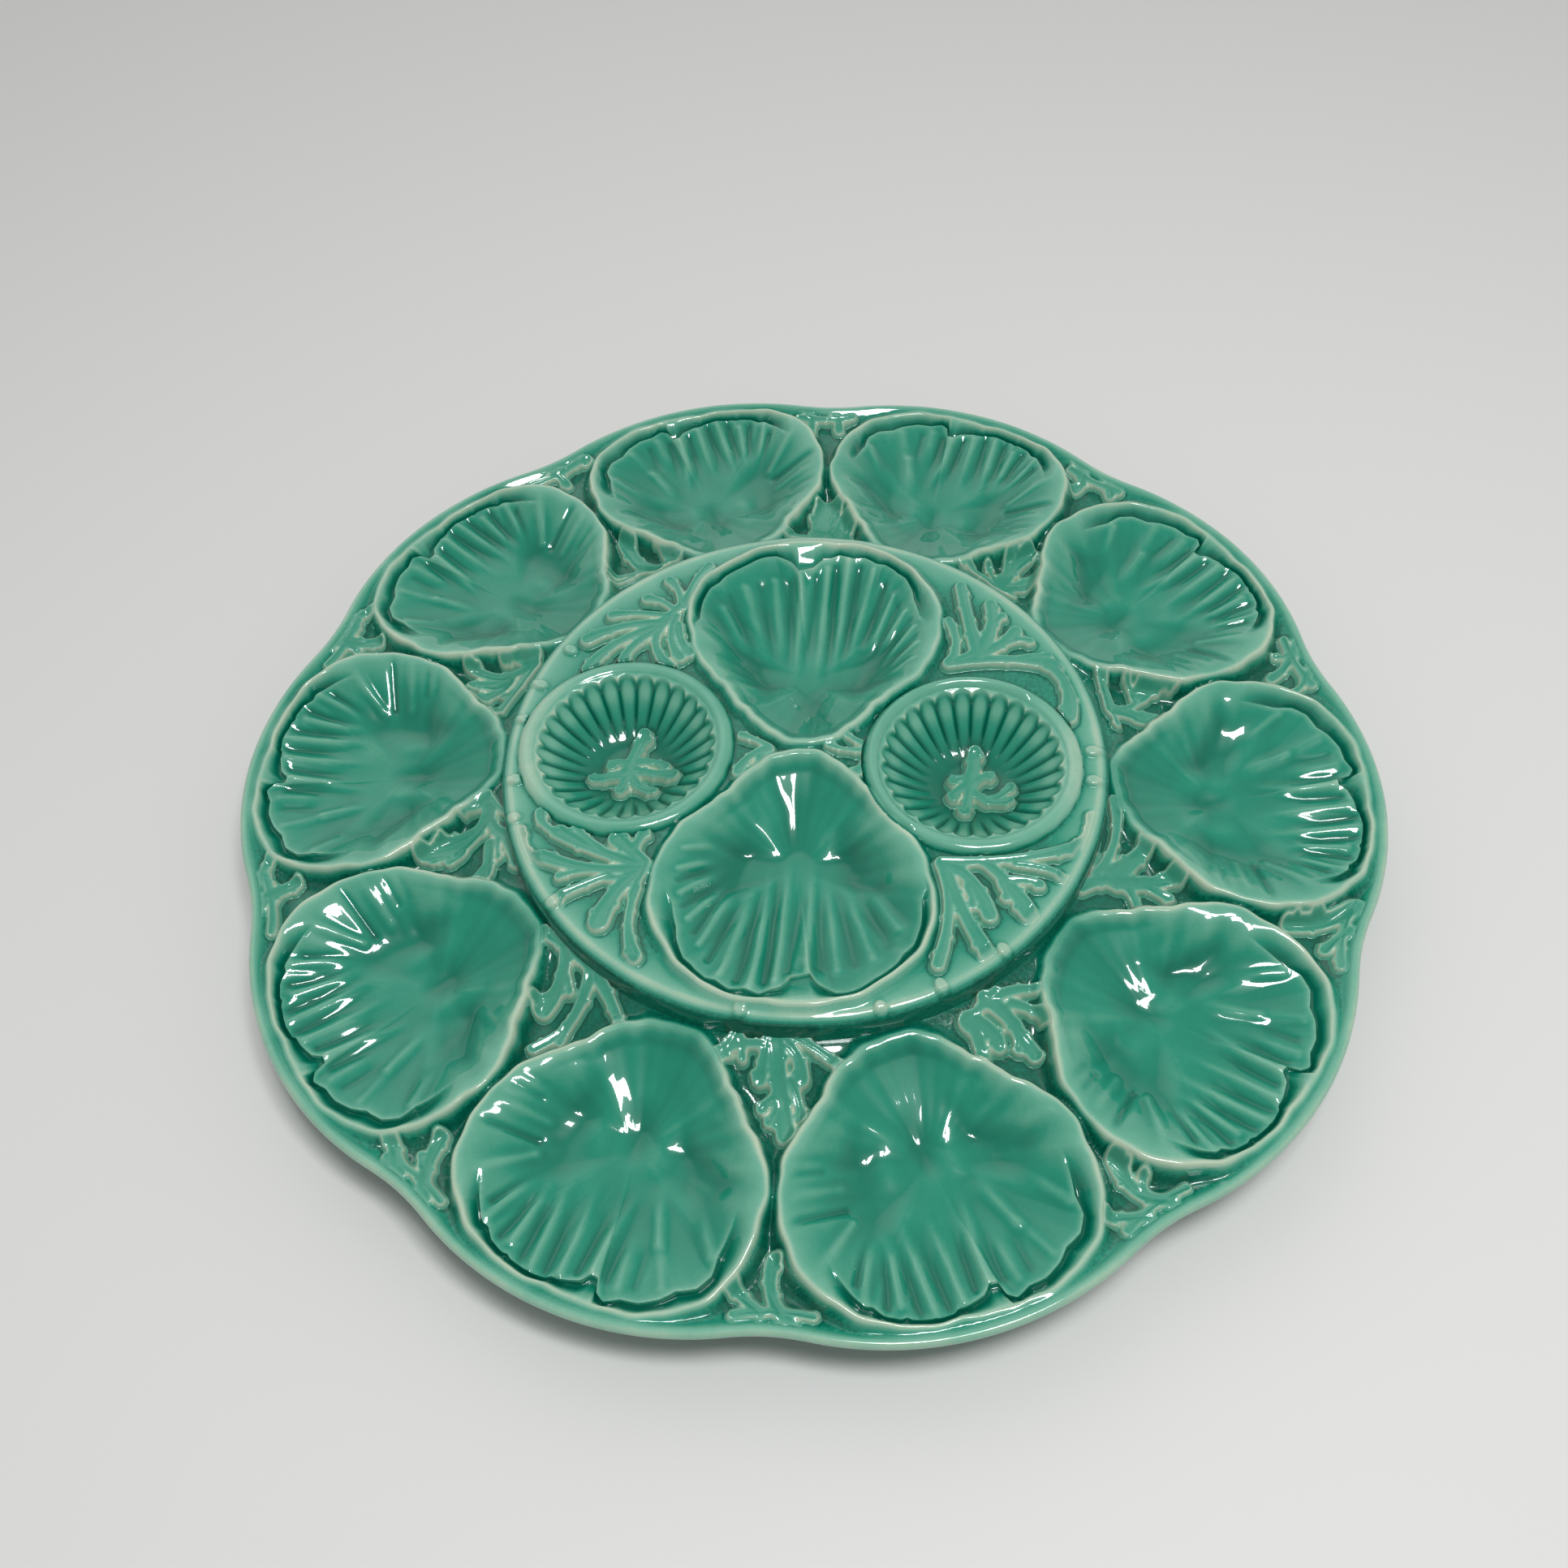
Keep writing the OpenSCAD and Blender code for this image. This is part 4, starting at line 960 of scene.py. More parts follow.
@dataclass
class Seaweed:
    """A spray of weed lying on what carries it, climbing the walls that it meets."""
    spray: Spray
    step: float = 0.36
    root: float = 1.0
    climb: float = 0.35
    gap: float = 0.1
    top_edge: float = 3.6

    @property
    def cup(self) -> CupPress:
        """The cup that the spray lies in."""
        return min(CUPS, key=lambda c: math.dist(c.place, self.spray.place))

    def off_walls(self, x: Array, y: Array) -> Array:
        """Distance from the lips of the wells that the spray grows between.

        Args:
            x: Places along X.
            y: Places along Y.

        Returns:
            Distances in millimetres; a cup's sprig meets no wall.
        """
        if self.spray.pad is Pad.CUP:
            return np.full(x.shape, 1e3)
        if self.spray.pad is Pad.TOP:
            return PLATE.centre_lips(x, y)
        return PLATE.ring_lips(x, y)[0]

    def carrier(self, x: Array, y: Array) -> Array:
        """Height of what the spray lies on.

        Args:
            x: Places along X.
            y: Places along Y.

        Returns:
            Heights in millimetres.
        """
        if self.spray.pad is Pad.TOP:
            return PLATE.plateau(x, y)
        if self.spray.pad is Pad.CUP:
            return self.cup.bowl(self.cup.polar(x, y)[0])
        return PLATE.annulus(x, y)

    def region(self, x: Array, y: Array) -> Array:
        """The fronds, less what the wells, the cups and the rim take.

        Args:
            x: Places along X.
            y: Places along Y.

        Returns:
            Signed distances, negative on the fronds.
        """
        d = np.maximum(self.spray.distance(x, y), self.climb - self.off_walls(x, y))
        r = np.hypot(x, y)
        if self.spray.pad in (Pad.GROUND, Pad.RIM):
            d = np.maximum(d, PLATE.rim_distance(x, y) + SIZE.roll_w)
            return np.maximum(d, SIZE.centre_r + self.gap - r)
        if self.spray.pad is Pad.TOP:
            for cup in CUPS:
                d = np.maximum(d, cup.outer_r + self.gap - cup.polar(x, y)[0])
            return np.maximum(d, r - SIZE.centre_r + self.top_edge)
        return d

    def stand(self, x: Array, y: Array) -> Array:
        """Share of their full height that the fronds keep, less where they climb a wall.

        Args:
            x: Places along X.
            y: Places along Y.

        Returns:
            Shares from 0 to 1.
        """
        share = smooth(self.climb, 3.3 if self.spray.pad is Pad.TOP else 2.6, self.off_walls(x, y))
        if self.spray.pad is Pad.TOP:
            share = share * (1.0 - smooth(SIZE.centre_r - 7.5, SIZE.centre_r - 3.8, np.hypot(x, y)))
        if self.spray.pad in (Pad.GROUND, Pad.RIM):
            share = share * smooth(SIZE.roll_w, SIZE.roll_w + 2.6, -PLATE.rim_distance(x, y))
        return share

    def top(self, x: Array, y: Array) -> Array:
        """Height of the fronds.

        Args:
            x: Places along X.
            y: Places along Y.

        Returns:
            Heights in millimetres.
        """
        rise = self.spray.rise(self.spray.distance(x, y))
        least = 0.03 if self.spray.pad is Pad.TOP else 0.12
        return self.carrier(x, y) + rise * (least + (1.0 - least) * self.stand(x, y))

    def mesh(self) -> bpy.types.Mesh:
        """The spray, closed underneath inside what carries it.

        Returns:
            A closed mesh.
        """
        slab = Slab(self.region, self.top, lambda x, y: self.carrier(x, y) - self.root,
                    self.spray.box(), self.step)
        return slab.mesh(self.spray.node)


# Glaze

def linear(*srgb: int) -> tuple[float, float, float, float]:
    """A colour picked in 0 to 255 steps, as the shader wants it."""
    c = [v / 255.0 for v in srgb]
    return tuple(v / 12.92 if v <= 0.04045 else ((v + 0.055) / 1.055) ** 2.4 for v in c) + (1.0,)


class GlazeMap:
    """How thin the glaze lies all over the plate, worked out from how its relief bends, with painted
    highlight and painted shade added at the rim, the cups and round the weed.
    """
    CELL = 0.35
    HALF = 190.0
    BLURS = ((0.8, 0.46), (2.6, 0.10), (9.0, 0.035))
    EDGE_FALL = 9.0
    PALEST = 0.46
    DARKEST = 0.40

    def __init__(self, weeds: Sequence[Seaweed]) -> None:
        """Lays the whole relief out on a grid and compares it with blurred copies of itself.

        Args:
            weeds: Every spray of weed.
        """
        axis = np.arange(-self.HALF, self.HALF, self.CELL)
        x, y = np.meshgrid(axis, axis)
        self.height = self.relief(x, y, weeds)
        bend = self.accents(x, y)
        for width, share in self.BLURS:
            bend = bend + share * (self.height - gauss(self.height, width / self.CELL))
        limit = np.where(bend > 0.0, self.PALEST, self.DARKEST)
        self.thin = limit * np.tanh(bend / limit)
        self.leaf = self.thin.copy()
        for weed in weeds:
            self.outline(weed, x, y)

    def accents(self, x: Array, y: Array) -> Array:
        """Where the glaze has run off, and painted light: the outer edge's pale line, partly thin glaze and
        partly a painted highlight; a pale band inside the rim, painted light on its upward slope; the lips;
        the centre's outer band; and the cups' petal tips, partly a painted highlight.

        Args:
            x: Places along X.
            y: Places along Y.

        Returns:
            What to add to the glaze's thinness, painted light included.
        """
        off = -PLATE.rim_distance(x, y)
        # pale line on the outer edge: partly thin glaze, partly a painted highlight; pale band 3 to 10 mm in:
        # painted light where the rim slopes up
        extra = 0.30 * np.exp(-((off - 0.6) / 1.1) ** 2) + 0.10 * (1.0 - smooth(3.0, 10.0, off))
        r = np.hypot(x, y)
        on_top = r < SIZE.centre_r
        inner = PLATE.centre_lips(x, y)
        lip = np.abs(np.where(on_top, inner, PLATE.ring_lips(x, y)[0]))
        extra = extra + 0.13 * np.exp(-(lip / 0.8) ** 2)
        band = smooth(SIZE.centre_r - 17.0, SIZE.centre_r - 8.0, r) * (inner > 1.5) * on_top
        for cup in CUPS:
            from_cup, angle = cup.polar(x, y)
            # paler petal tips in the cups: partly thin glaze on the convex tips, partly a painted highlight
            ends = np.exp(-((from_cup - cup.inner_r + 3.6) / 2.4) ** 2)
            extra = extra + 0.20 * ends * (1.0 - cup.across(angle) ** 2)
        return extra + 0.12 * band

    def outline(self, weed: Seaweed, x: Array, y: Array) -> None:
        """A thin pale line round a spray of weed, and darker glaze under and just beside it on what it lies
        on: partly glaze pooled in the crease, partly painted shade at the fronds' sides.

        Args:
            weed: The spray.
            x: Places along X.
            y: Places along Y.
        """
        near = weed.spray.near(x, y)
        d = weed.spray.distance(x[near], y[near])
        stand = smooth(0.1, 0.7, weed.stand(x[near], y[near]))
        tone = 0.02 + 0.40 * np.exp(-((d + 0.85) / 0.42) ** 2)
        own = weed.region(x[near], y[near])
        keep = (own < 0.6) * stand
        self.leaf[near] = self.leaf[near] * (1.0 - keep) + tone * keep
        # darker carrier under the fronds and 1 mm round them: partly pooled glaze, partly painted shade
        pool = 1.0 - smooth(0.0, 1.0, own)
        self.thin[near] = self.thin[near] - 0.24 * pool * stand

    def relief(self, x: Array, y: Array, weeds: Sequence[Seaweed]) -> Array:
        """Height of everything that is pressed on the plate.

        Args:
            x: Places along X.
            y: Places along Y.
            weeds: Every spray of weed.

        Returns:
            Heights in millimetres.
        """
        off = PLATE.rim_distance(x, y)
        z = SIZE.rim_h - 2.5 * smooth(-1.2, 2.5, off)
        r = np.hypot(x, y)
        ring = (off < -1.2) & (r > SIZE.centre_r + 1.0)
        z[ring] = PLATE.annulus(x[ring], y[ring])
        u, v = PLATE.in_lobe(x, y, PLATE.nearest_lobe(x, y))
        well = ring & (RING_LIP.off_lip(u, v)[0] < 0.0)
        z[well] = RING_SHELL.hollow(u[well], v[well])
        top = r <= SIZE.centre_r + 1.0
        fall = self.EDGE_FALL * smooth(SIZE.centre_r - 3.5, SIZE.centre_r + 1.0, r[top])
        z[top] = PLATE.plateau(x[top], y[top]) - fall
        for sign in (1.0, -1.0):
            well = top & (CENTRE_LIP.off_lip(sign * x, sign * y)[0] < 0.0)
            z[well] = CENTRE_SHELL.hollow(sign * x[well], sign * y[well])
        for cup in CUPS:
            from_cup, angle = cup.polar(x, y)
            bowl = from_cup < cup.outer_r
            z[bowl] = cup.height(from_cup[bowl], angle[bowl])
        for weed in weeds:
            near = weed.spray.near(x, y)
            on = weed.region(x[near], y[near]) < 0.0
            z[near] = np.where(on, weed.top(x[near], y[near]), z[near])
        return z

    def sample(self, grid: Array, gx: Array, gy: Array) -> Array:
        """A grid's values between its points.

        Args:
            grid: Values on the grid.
            gx: Columns, with their fractions.
            gy: Rows, with their fractions.

        Returns:
            Values at those places.
        """
        ix, iy = gx.astype(int), gy.astype(int)
        fx, fy = gx - ix, gy - iy
        return ((grid[iy, ix] * (1 - fx) + grid[iy, ix + 1] * fx) * (1 - fy)
                + (grid[iy + 1, ix] * (1 - fx) + grid[iy + 1, ix + 1] * fx) * fy)

    def paint(self, mesh: bpy.types.Mesh, leaf: bool) -> None:
        """Writes the glaze's thinness, with its painted highlights and painted shade, on a mesh's points.

        Args:
            mesh: The mesh.
            leaf: Whether the mesh is weed, which has its own pale edges.
        """
        co = points_of(mesh) / MM
        gx = np.clip((co[:, 0] + self.HALF) / self.CELL, 0, self.thin.shape[1] - 2)
        gy = np.clip((co[:, 1] + self.HALF) / self.CELL, 0, self.thin.shape[0] - 2)
        buried = np.maximum(self.sample(self.height, gx, gy) - co[:, 2] - 1.2, 0.0)
        # the glaze value holds glaze thinness with the painted highlights and painted shade mixed in
        value = self.sample(self.leaf if leaf else self.thin, gx, gy) * np.exp(-(buried / 2.0) ** 2)
        layer = mesh.attributes.get("glaze") or mesh.attributes.new("glaze", "FLOAT", "POINT")
        layer.data.foreach_set("value", value.astype(np.float32))


class Wire:
    """A socket of a node tree that takes part in sums."""

    def __init__(self, board: "Board", socket: bpy.types.NodeSocket) -> None:
        """Keeps the board that new maths nodes go on."""
        self.board, self.socket = board, socket

    def maths(self, operation: str, *others: "Wire | float") -> "Wire":
        """A Math node fed by this socket and the others."""
        node = self.board.add("ShaderNodeMath", {"operation": operation}, self, *others)
        return Wire(self.board, node.outputs[0])

    def __add__(self, other: "Wire | float") -> "Wire":
        """Sum."""
        return self.maths("ADD", other)

    def __sub__(self, other: "Wire | float") -> "Wire":
        """Difference."""
        return self.maths("SUBTRACT", other)

    def __rsub__(self, other: float) -> "Wire":
        """A number less this."""
        return self.maths("MULTIPLY", -1.0).maths("ADD", other)

    def __mul__(self, other: "Wire | float") -> "Wire":
        """Product."""
        return self.maths("MULTIPLY", other)

    __radd__ = __add__
    __rmul__ = __mul__

    def clamped(self) -> "Wire":
        """The same, held between 0 and 1.

        Returns:
            The clamped value.
        """
        held = self.maths("ADD", 0.0)
        held.socket.node.use_clamp = True
        return held


class Board:
    """A node tree with one way of adding nodes."""

    def __init__(self, tree: bpy.types.NodeTree) -> None:
        """Works on a tree that exists."""
        self.tree = tree

    def add(self, kind: str, settings: dict | None = None, *values: object,
            **named: object) -> bpy.types.Node:
        """Adds a node.

        Args:
            kind: The node's type.
            settings: Attributes set before the inputs.
            values: Values or links for the inputs in order; None leaves one alone.
            named: Values or links by input name, with _ for a space.

        Returns:
            The node.
        """
        node = self.tree.nodes.new(kind)
        for key, value in (settings or {}).items():
            setattr(node, key, value)
        by_name = [(node.inputs[key.replace("_", " ")], value) for key, value in named.items()]
        for socket, value in list(zip(node.inputs, values)) + by_name:
            if isinstance(value, Wire):
                self.tree.links.new(value.socket, socket)
            elif isinstance(value, bpy.types.NodeSocket):
                self.tree.links.new(value, socket)
            elif value is not None:
                socket.default_value = value
        return node

    def wire(self, node: bpy.types.Node, output: str | int = 0) -> Wire:
        """One output of a node, ready for sums."""
        return Wire(self, node.outputs[output])

    def noise(self, where: bpy.types.NodeSocket, scale: float, detail: float) -> Wire:
        """A cloudy pattern between 0 and 1."""
        node = self.add("ShaderNodeTexNoise", None, Vector=where, Scale=scale, Detail=detail)
        return self.wire(node, "Fac")


@dataclass(frozen=True)
class CeladonGlaze:
    """Green glaze on pale clay: dark where it pools, thin and milky on crests."""
    name: str
    pool: tuple[int, int, int] = (0, 86, 68)
    deep: tuple[int, int, int] = (0, 110, 88)
    body: tuple[int, int, int] = (30, 140, 114)
    thin: tuple[int, int, int] = (112, 176, 152)
    bare: tuple[int, int, int] = (206, 214, 190)
    shift: float = 0.0
    mottle: float = 0.22
    stipple: float = 0.0
    coat_rough: float = 0.035

    def make(self) -> bpy.types.Material:
        """Builds the material.

        Returns:
            The material.
        """
        mat = bpy.data.materials.new(self.name)
        mat.use_nodes = True
        board = Board(mat.node_tree)
        mat.node_tree.nodes.clear()
        where = board.add("ShaderNodeTexCoord").outputs["Object"]
        # the glaze attribute also carries painted highlight and painted shade
        lie = board.wire(board.add("ShaderNodeAttribute", {"attribute_name": "glaze"}), "Fac")
        cloud = board.noise(where, 52.0, 3.0)
        speck = board.noise(where, 620.0, 2.0)
        dots = board.wire(board.add("ShaderNodeTexVoronoi", None, Vector=where, Scale=780.0), "Distance")
        hollow = ((0.06 - lie) * 9.0).clamped() * self.stipple
        tone = lie + (cloud - 0.5) * self.mottle + (speck - 0.5) * 0.05 + (0.46 + self.shift)
        tone = tone + (dots - 0.42) * hollow * 0.26
        ramp = board.add("ShaderNodeValToRGB", None, tone)
        self.set_stops(ramp.color_ramp)
        wave = board.noise(where, 45.0, 2.0)
        relief = wave + dots * hollow * 0.5
        bump = board.add("ShaderNodeBump", None, Strength=0.4, Distance=0.0006, Height=relief)
        shader = board.add("ShaderNodeBsdfPrincipled", None, Base_Color=ramp.outputs["Color"],
                           Roughness=0.28, Normal=bump.outputs["Normal"])
        shader.inputs["IOR"].default_value = 1.5
        shader.inputs["Specular IOR Level"].default_value = 0.15
        shader.inputs["Coat Weight"].default_value = 1.0
        shader.inputs["Coat Roughness"].default_value = self.coat_rough
        board.add("ShaderNodeOutputMaterial", None, Surface=shader.outputs["BSDF"])
        return mat

    def set_stops(self, ramp: bpy.types.ColorRamp) -> None:
        """Places the glaze's tones from pool to bare clay.

        Args:
            ramp: The ramp to fill.
        """
        stops = ((0.0, self.pool), (0.26, self.deep), (0.46, self.body), (0.72, self.thin), (1.0, self.bare))
        while len(ramp.elements) < len(stops):
            ramp.elements.new(0.5)
        for element, (at, colour) in zip(ramp.elements, stops):
            element.position = at
            element.color = linear(*colour)


class Finish(Enum):
    """The record's slots and the glaze that each one shows."""
    GROUND = ("glaze_ground", CeladonGlaze("ground_glaze", shift=-0.06, stipple=1.0, coat_rough=0.05))
    SHELL = ("glaze_shell", CeladonGlaze("shell_glaze"))
    WEED = ("glaze_weed", CeladonGlaze("weed_glaze", shift=0.05, mottle=0.14))
    FOOT = ("glaze_foot", CeladonGlaze("foot_glaze", shift=0.02))


class Glazier:
    """Hands out one material for each finish and reports finished pieces to the frame."""

    def __init__(self, glaze: GlazeMap) -> None:
        """Makes the materials."""
        self.glaze = glaze
        self.mats = {f: f.value[1].make() for f in Finish}

    def hand_in(self, mesh: bpy.types.Mesh, node: str, finish: Finish) -> None:
        """Args:
            mesh: The mesh.
            node: The CAD node that the piece stands for.
            finish: The slot and its glaze.
        """
        self.glaze.paint(mesh, finish is Finish.WEED)
        mesh.materials.clear()
        mesh.materials.append(self.mats[finish])
        piece = bpy.data.objects.new(node + "_glazed", mesh)
        bpy.context.scene.collection.objects.link(piece)
        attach(piece, "root")
        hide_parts(node)
        LOG.info("%s: %d faces, stands for %s", piece.name, len(mesh.polygons), node)


# Meshes

def mesh_of(name: str, points: Array, corners: list[Array]) -> bpy.types.Mesh:
    """Makes a smooth mesh.

    Args:
        name: The mesh's name.
        points: Rows of x, y and z in millimetres.
        corners: Arrays of faces, one row of point numbers for each face.

    Returns:
        The mesh, in metres.
    """
    mesh = bpy.data.meshes.new(name)
    mesh.vertices.add(len(points))
    mesh.vertices.foreach_set("co", (points * MM).astype(np.float32).ravel())
    flat = np.concatenate([c.ravel() for c in corners]).astype(np.int32)
    counts = np.concatenate([np.full(len(c), c.shape[1]) for c in corners])
    mesh.loops.add(len(flat))
    mesh.loops.foreach_set("vertex_index", flat)
    mesh.polygons.add(len(counts))
    mesh.polygons.foreach_set("loop_start", (np.cumsum(counts) - counts).astype(np.int32))
    mesh.update(calc_edges=True)
    mesh.validate()
    mesh.set_sharp_from_angle(angle=SHARP)
    return mesh


def points_of(mesh: bpy.types.Mesh) -> Array:
    """A mesh's points, one row each, in metres.

    Args:
        mesh: The mesh.

    Returns:
        The points.
    """
    co = np.zeros(len(mesh.vertices) * 3, np.float32)
    mesh.vertices.foreach_get("co", co)
    return co.reshape(-1, 3)


def loft(rings: Array, closed: bool, top_pole: Sequence[float] | None = None,
         low_pole: Sequence[float] | None = None) -> tuple[Array, list[Array]]:
    """Joins rings of points, from the middle of the top outwards and back under.

    Args:
        rings: Rings, points on a ring, then x, y and z.
        closed: Whether a ring's last point meets its first.
        top_pole: Point that the first ring closes on.
        low_pole: Point that the last ring closes on.

    Returns:
        Points and faces.
    """
    m, n = rings.shape[:2]
    i = np.arange(n if closed else n - 1)
    k = (i + 1) % n
    j = np.arange(m - 1)[:, None] * n
    faces = [np.stack([j + i, j + n + i, j + n + k, j + k], -1).reshape(-1, 4)]
    points = [rings.reshape(-1, 3)]
    if top_pole is not None:
        faces.append(np.stack([np.full(len(i), m * n), i, k], -1))
        points.append(np.array([top_pole], float))
    if low_pole is not None:
        last = (m - 1) * n
        faces.append(np.stack([np.full(len(i), m * n + (top_pole is not None)), last + k, last + i], -1))
        points.append(np.array([low_pole], float))
    return np.vstack(points), faces


@dataclass
class Slab:
    """A closed body over any plan region, with its top and its underside given as heights."""
    region: Field
    top: Field
    under: Field
    box: tuple[float, float, float, float]
    step: float
    edge: Callable[[Array, Array, Array, Array], list[Array]] | None = None

    def crossings(self, ax: Array, ay: Array, bx: Array, by: Array,
                  da: Array, db: Array) -> Array:
        """Places where the region's edge crosses grid lines from a to b.

        Args:
            ax: First ends along X.
            ay: First ends along Y.
            bx: Second ends along X.
            by: Second ends along Y.
            da: Distances at the first ends.
            db: Distances at the second ends.

        Returns:
            Rows of x and y.
        """
        t = da / (da - db)
        dm = self.region(ax + (bx - ax) * t, ay + (by - ay) * t)
        t = np.where((dm < 0) == (da < 0), t + (1.0 - t) * dm / (dm - db), t * da / (da - dm))
        t = np.clip(t, 0.03, 0.97)
        return np.column_stack([ax + (bx - ax) * t, ay + (by - ay) * t])

    def mesh(self, name: str) -> bpy.types.Mesh:
        """Cuts the region into the cells of a grid and closes it all round.

        Args:
            name: The mesh's name.

        Returns:
            The closed mesh.
        """
        x0, y0, x1, y1 = self.box
        gx, gy = np.meshgrid(np.arange(x0 - self.step, x1 + 2.0 * self.step, self.step),
                             np.arange(y0 - self.step, y1 + 2.0 * self.step, self.step))
        d = self.region(gx, gy)
        least = 0.05 * self.step
        d = np.where(np.abs(d) < least, np.where(d < 0.0, -least, least), d)
        d[0, :] = d[-1, :] = d[:, 0] = d[:, -1] = np.maximum(d[0, 0], self.step)
        into = d < 0.0
        across, along = into[:, :-1] != into[:, 1:], into[:-1] != into[1:]
        columns = (slice(None), slice(None, -1)), (slice(None), slice(1, None))
        rows = (slice(None, -1),), (slice(1, None),)
        flat = [np.column_stack([gx[into], gy[into]])]
        for cut, ends in ((across, columns), (along, rows)):
            corners = [g[end][cut] for end in ends for g in (gx, gy)]
            flat.append(self.crossings(*corners, *(d[end][cut] for end in ends)))
        number = [np.full(mask.shape, -1) for mask in (into, across, along)]
        start = 0
        for table, mask, pts in zip(number, (into, across, along), flat):
            table[mask] = start + np.arange(len(pts))
            start += len(pts)
        plan = np.vstack(flat)
        polys, chords = self.cells(into, *number)
        return self.close(name, plan, len(flat[0]), polys, chords)

    def cells(self, into: Array, corner: Array, across: Array,
              along: Array) -> tuple[list[Array], Array]:
        """Faces of the top and the chords of its edge, cell by cell.

        Args:
            into: Which grid points lie in the region.
            corner: Point numbers on the grid.
            across: Point numbers on the grid's rows.
            along: Point numbers on its columns.

        Returns:
            Faces by kind, and pairs of edge points.
        """
        kind = into[:-1, :-1] + 2 * into[:-1, 1:] + 4 * into[1:, 1:] + 8 * into[1:, :-1]
        polys, chords = [], []
        for case in range(1, 16):
            i, j = np.nonzero(kind == case)
            if not len(i):
                continue
            ids = [corner[i, j], corner[i, j + 1], corner[i + 1, j + 1], corner[i + 1, j],
                   across[i, j], along[i, j + 1], across[i + 1, j], along[i, j]]
            walk = []
            for c in range(4):
                here, then = case >> c & 1, case >> (c + 1) % 4 & 1
                walk += [c] * here + [4 + c] * (here != then)
            polys.append(np.stack([ids[w] for w in walk], -1))
            for w, after in zip(walk, walk[1:] + walk[:1]):
                if w > 3 and after > 3 and case >> (w - 4) & 1:
                    chords.append(np.stack([ids[w], ids[after]], -1))
        return polys, np.vstack(chords)

    def close(self, name: str, plan: Array, inner: int, polys: list[Array],
              chords: Array) -> bpy.types.Mesh:
        """Adds the underside and the sides to the faces of the top.

        Args:
            name: The mesh's name.
            plan: Rows of x and y.
            inner: How many of them lie inside the edge.
            polys: Faces of the top.
            chords: Pairs of edge points.

        Returns:
            The closed mesh.
        """
        x, y = plan.T
        top, under = self.top(x, y), self.under(x, y)
        ex, ey = x[inner:], y[inner:]
        rings = self.edge(ex, ey, top[inner:], under[inner:]) if self.edge else []
        n, e = len(plan), len(plan) - inner
        points = [np.column_stack([x, y, top]), np.column_stack([x, y, under])] + rings
        faces = polys + [p[:, ::-1] + n for p in polys]
        levels = [0] + [2 * n - inner + e * k for k in range(len(rings))] + [n]
        for upper, lower in zip(levels[:-1], levels[1:]):
            faces.append(np.column_stack([chords[:, 1] + upper, chords[:, 0] + upper,
                                          chords[:, 0] + lower, chords[:, 1] + lower]))
        mesh = mesh_of(name, np.vstack(points), faces)
        h = 0.12
        slope_x = (self.top(x + h, y) - self.top(x - h, y)) / (2.0 * h)
        slope_y = (self.top(x, y + h) - self.top(x, y - h)) / (2.0 * h)
        normals = np.zeros((len(mesh.vertices), 3))
        normals[:n] = np.column_stack([-slope_x, -slope_y, np.ones(n)])
        normals[:n] /= np.linalg.norm(normals[:n], axis=1)[:, None]
        mesh.normals_split_custom_set_from_vertices(normals.tolist())
        return mesh


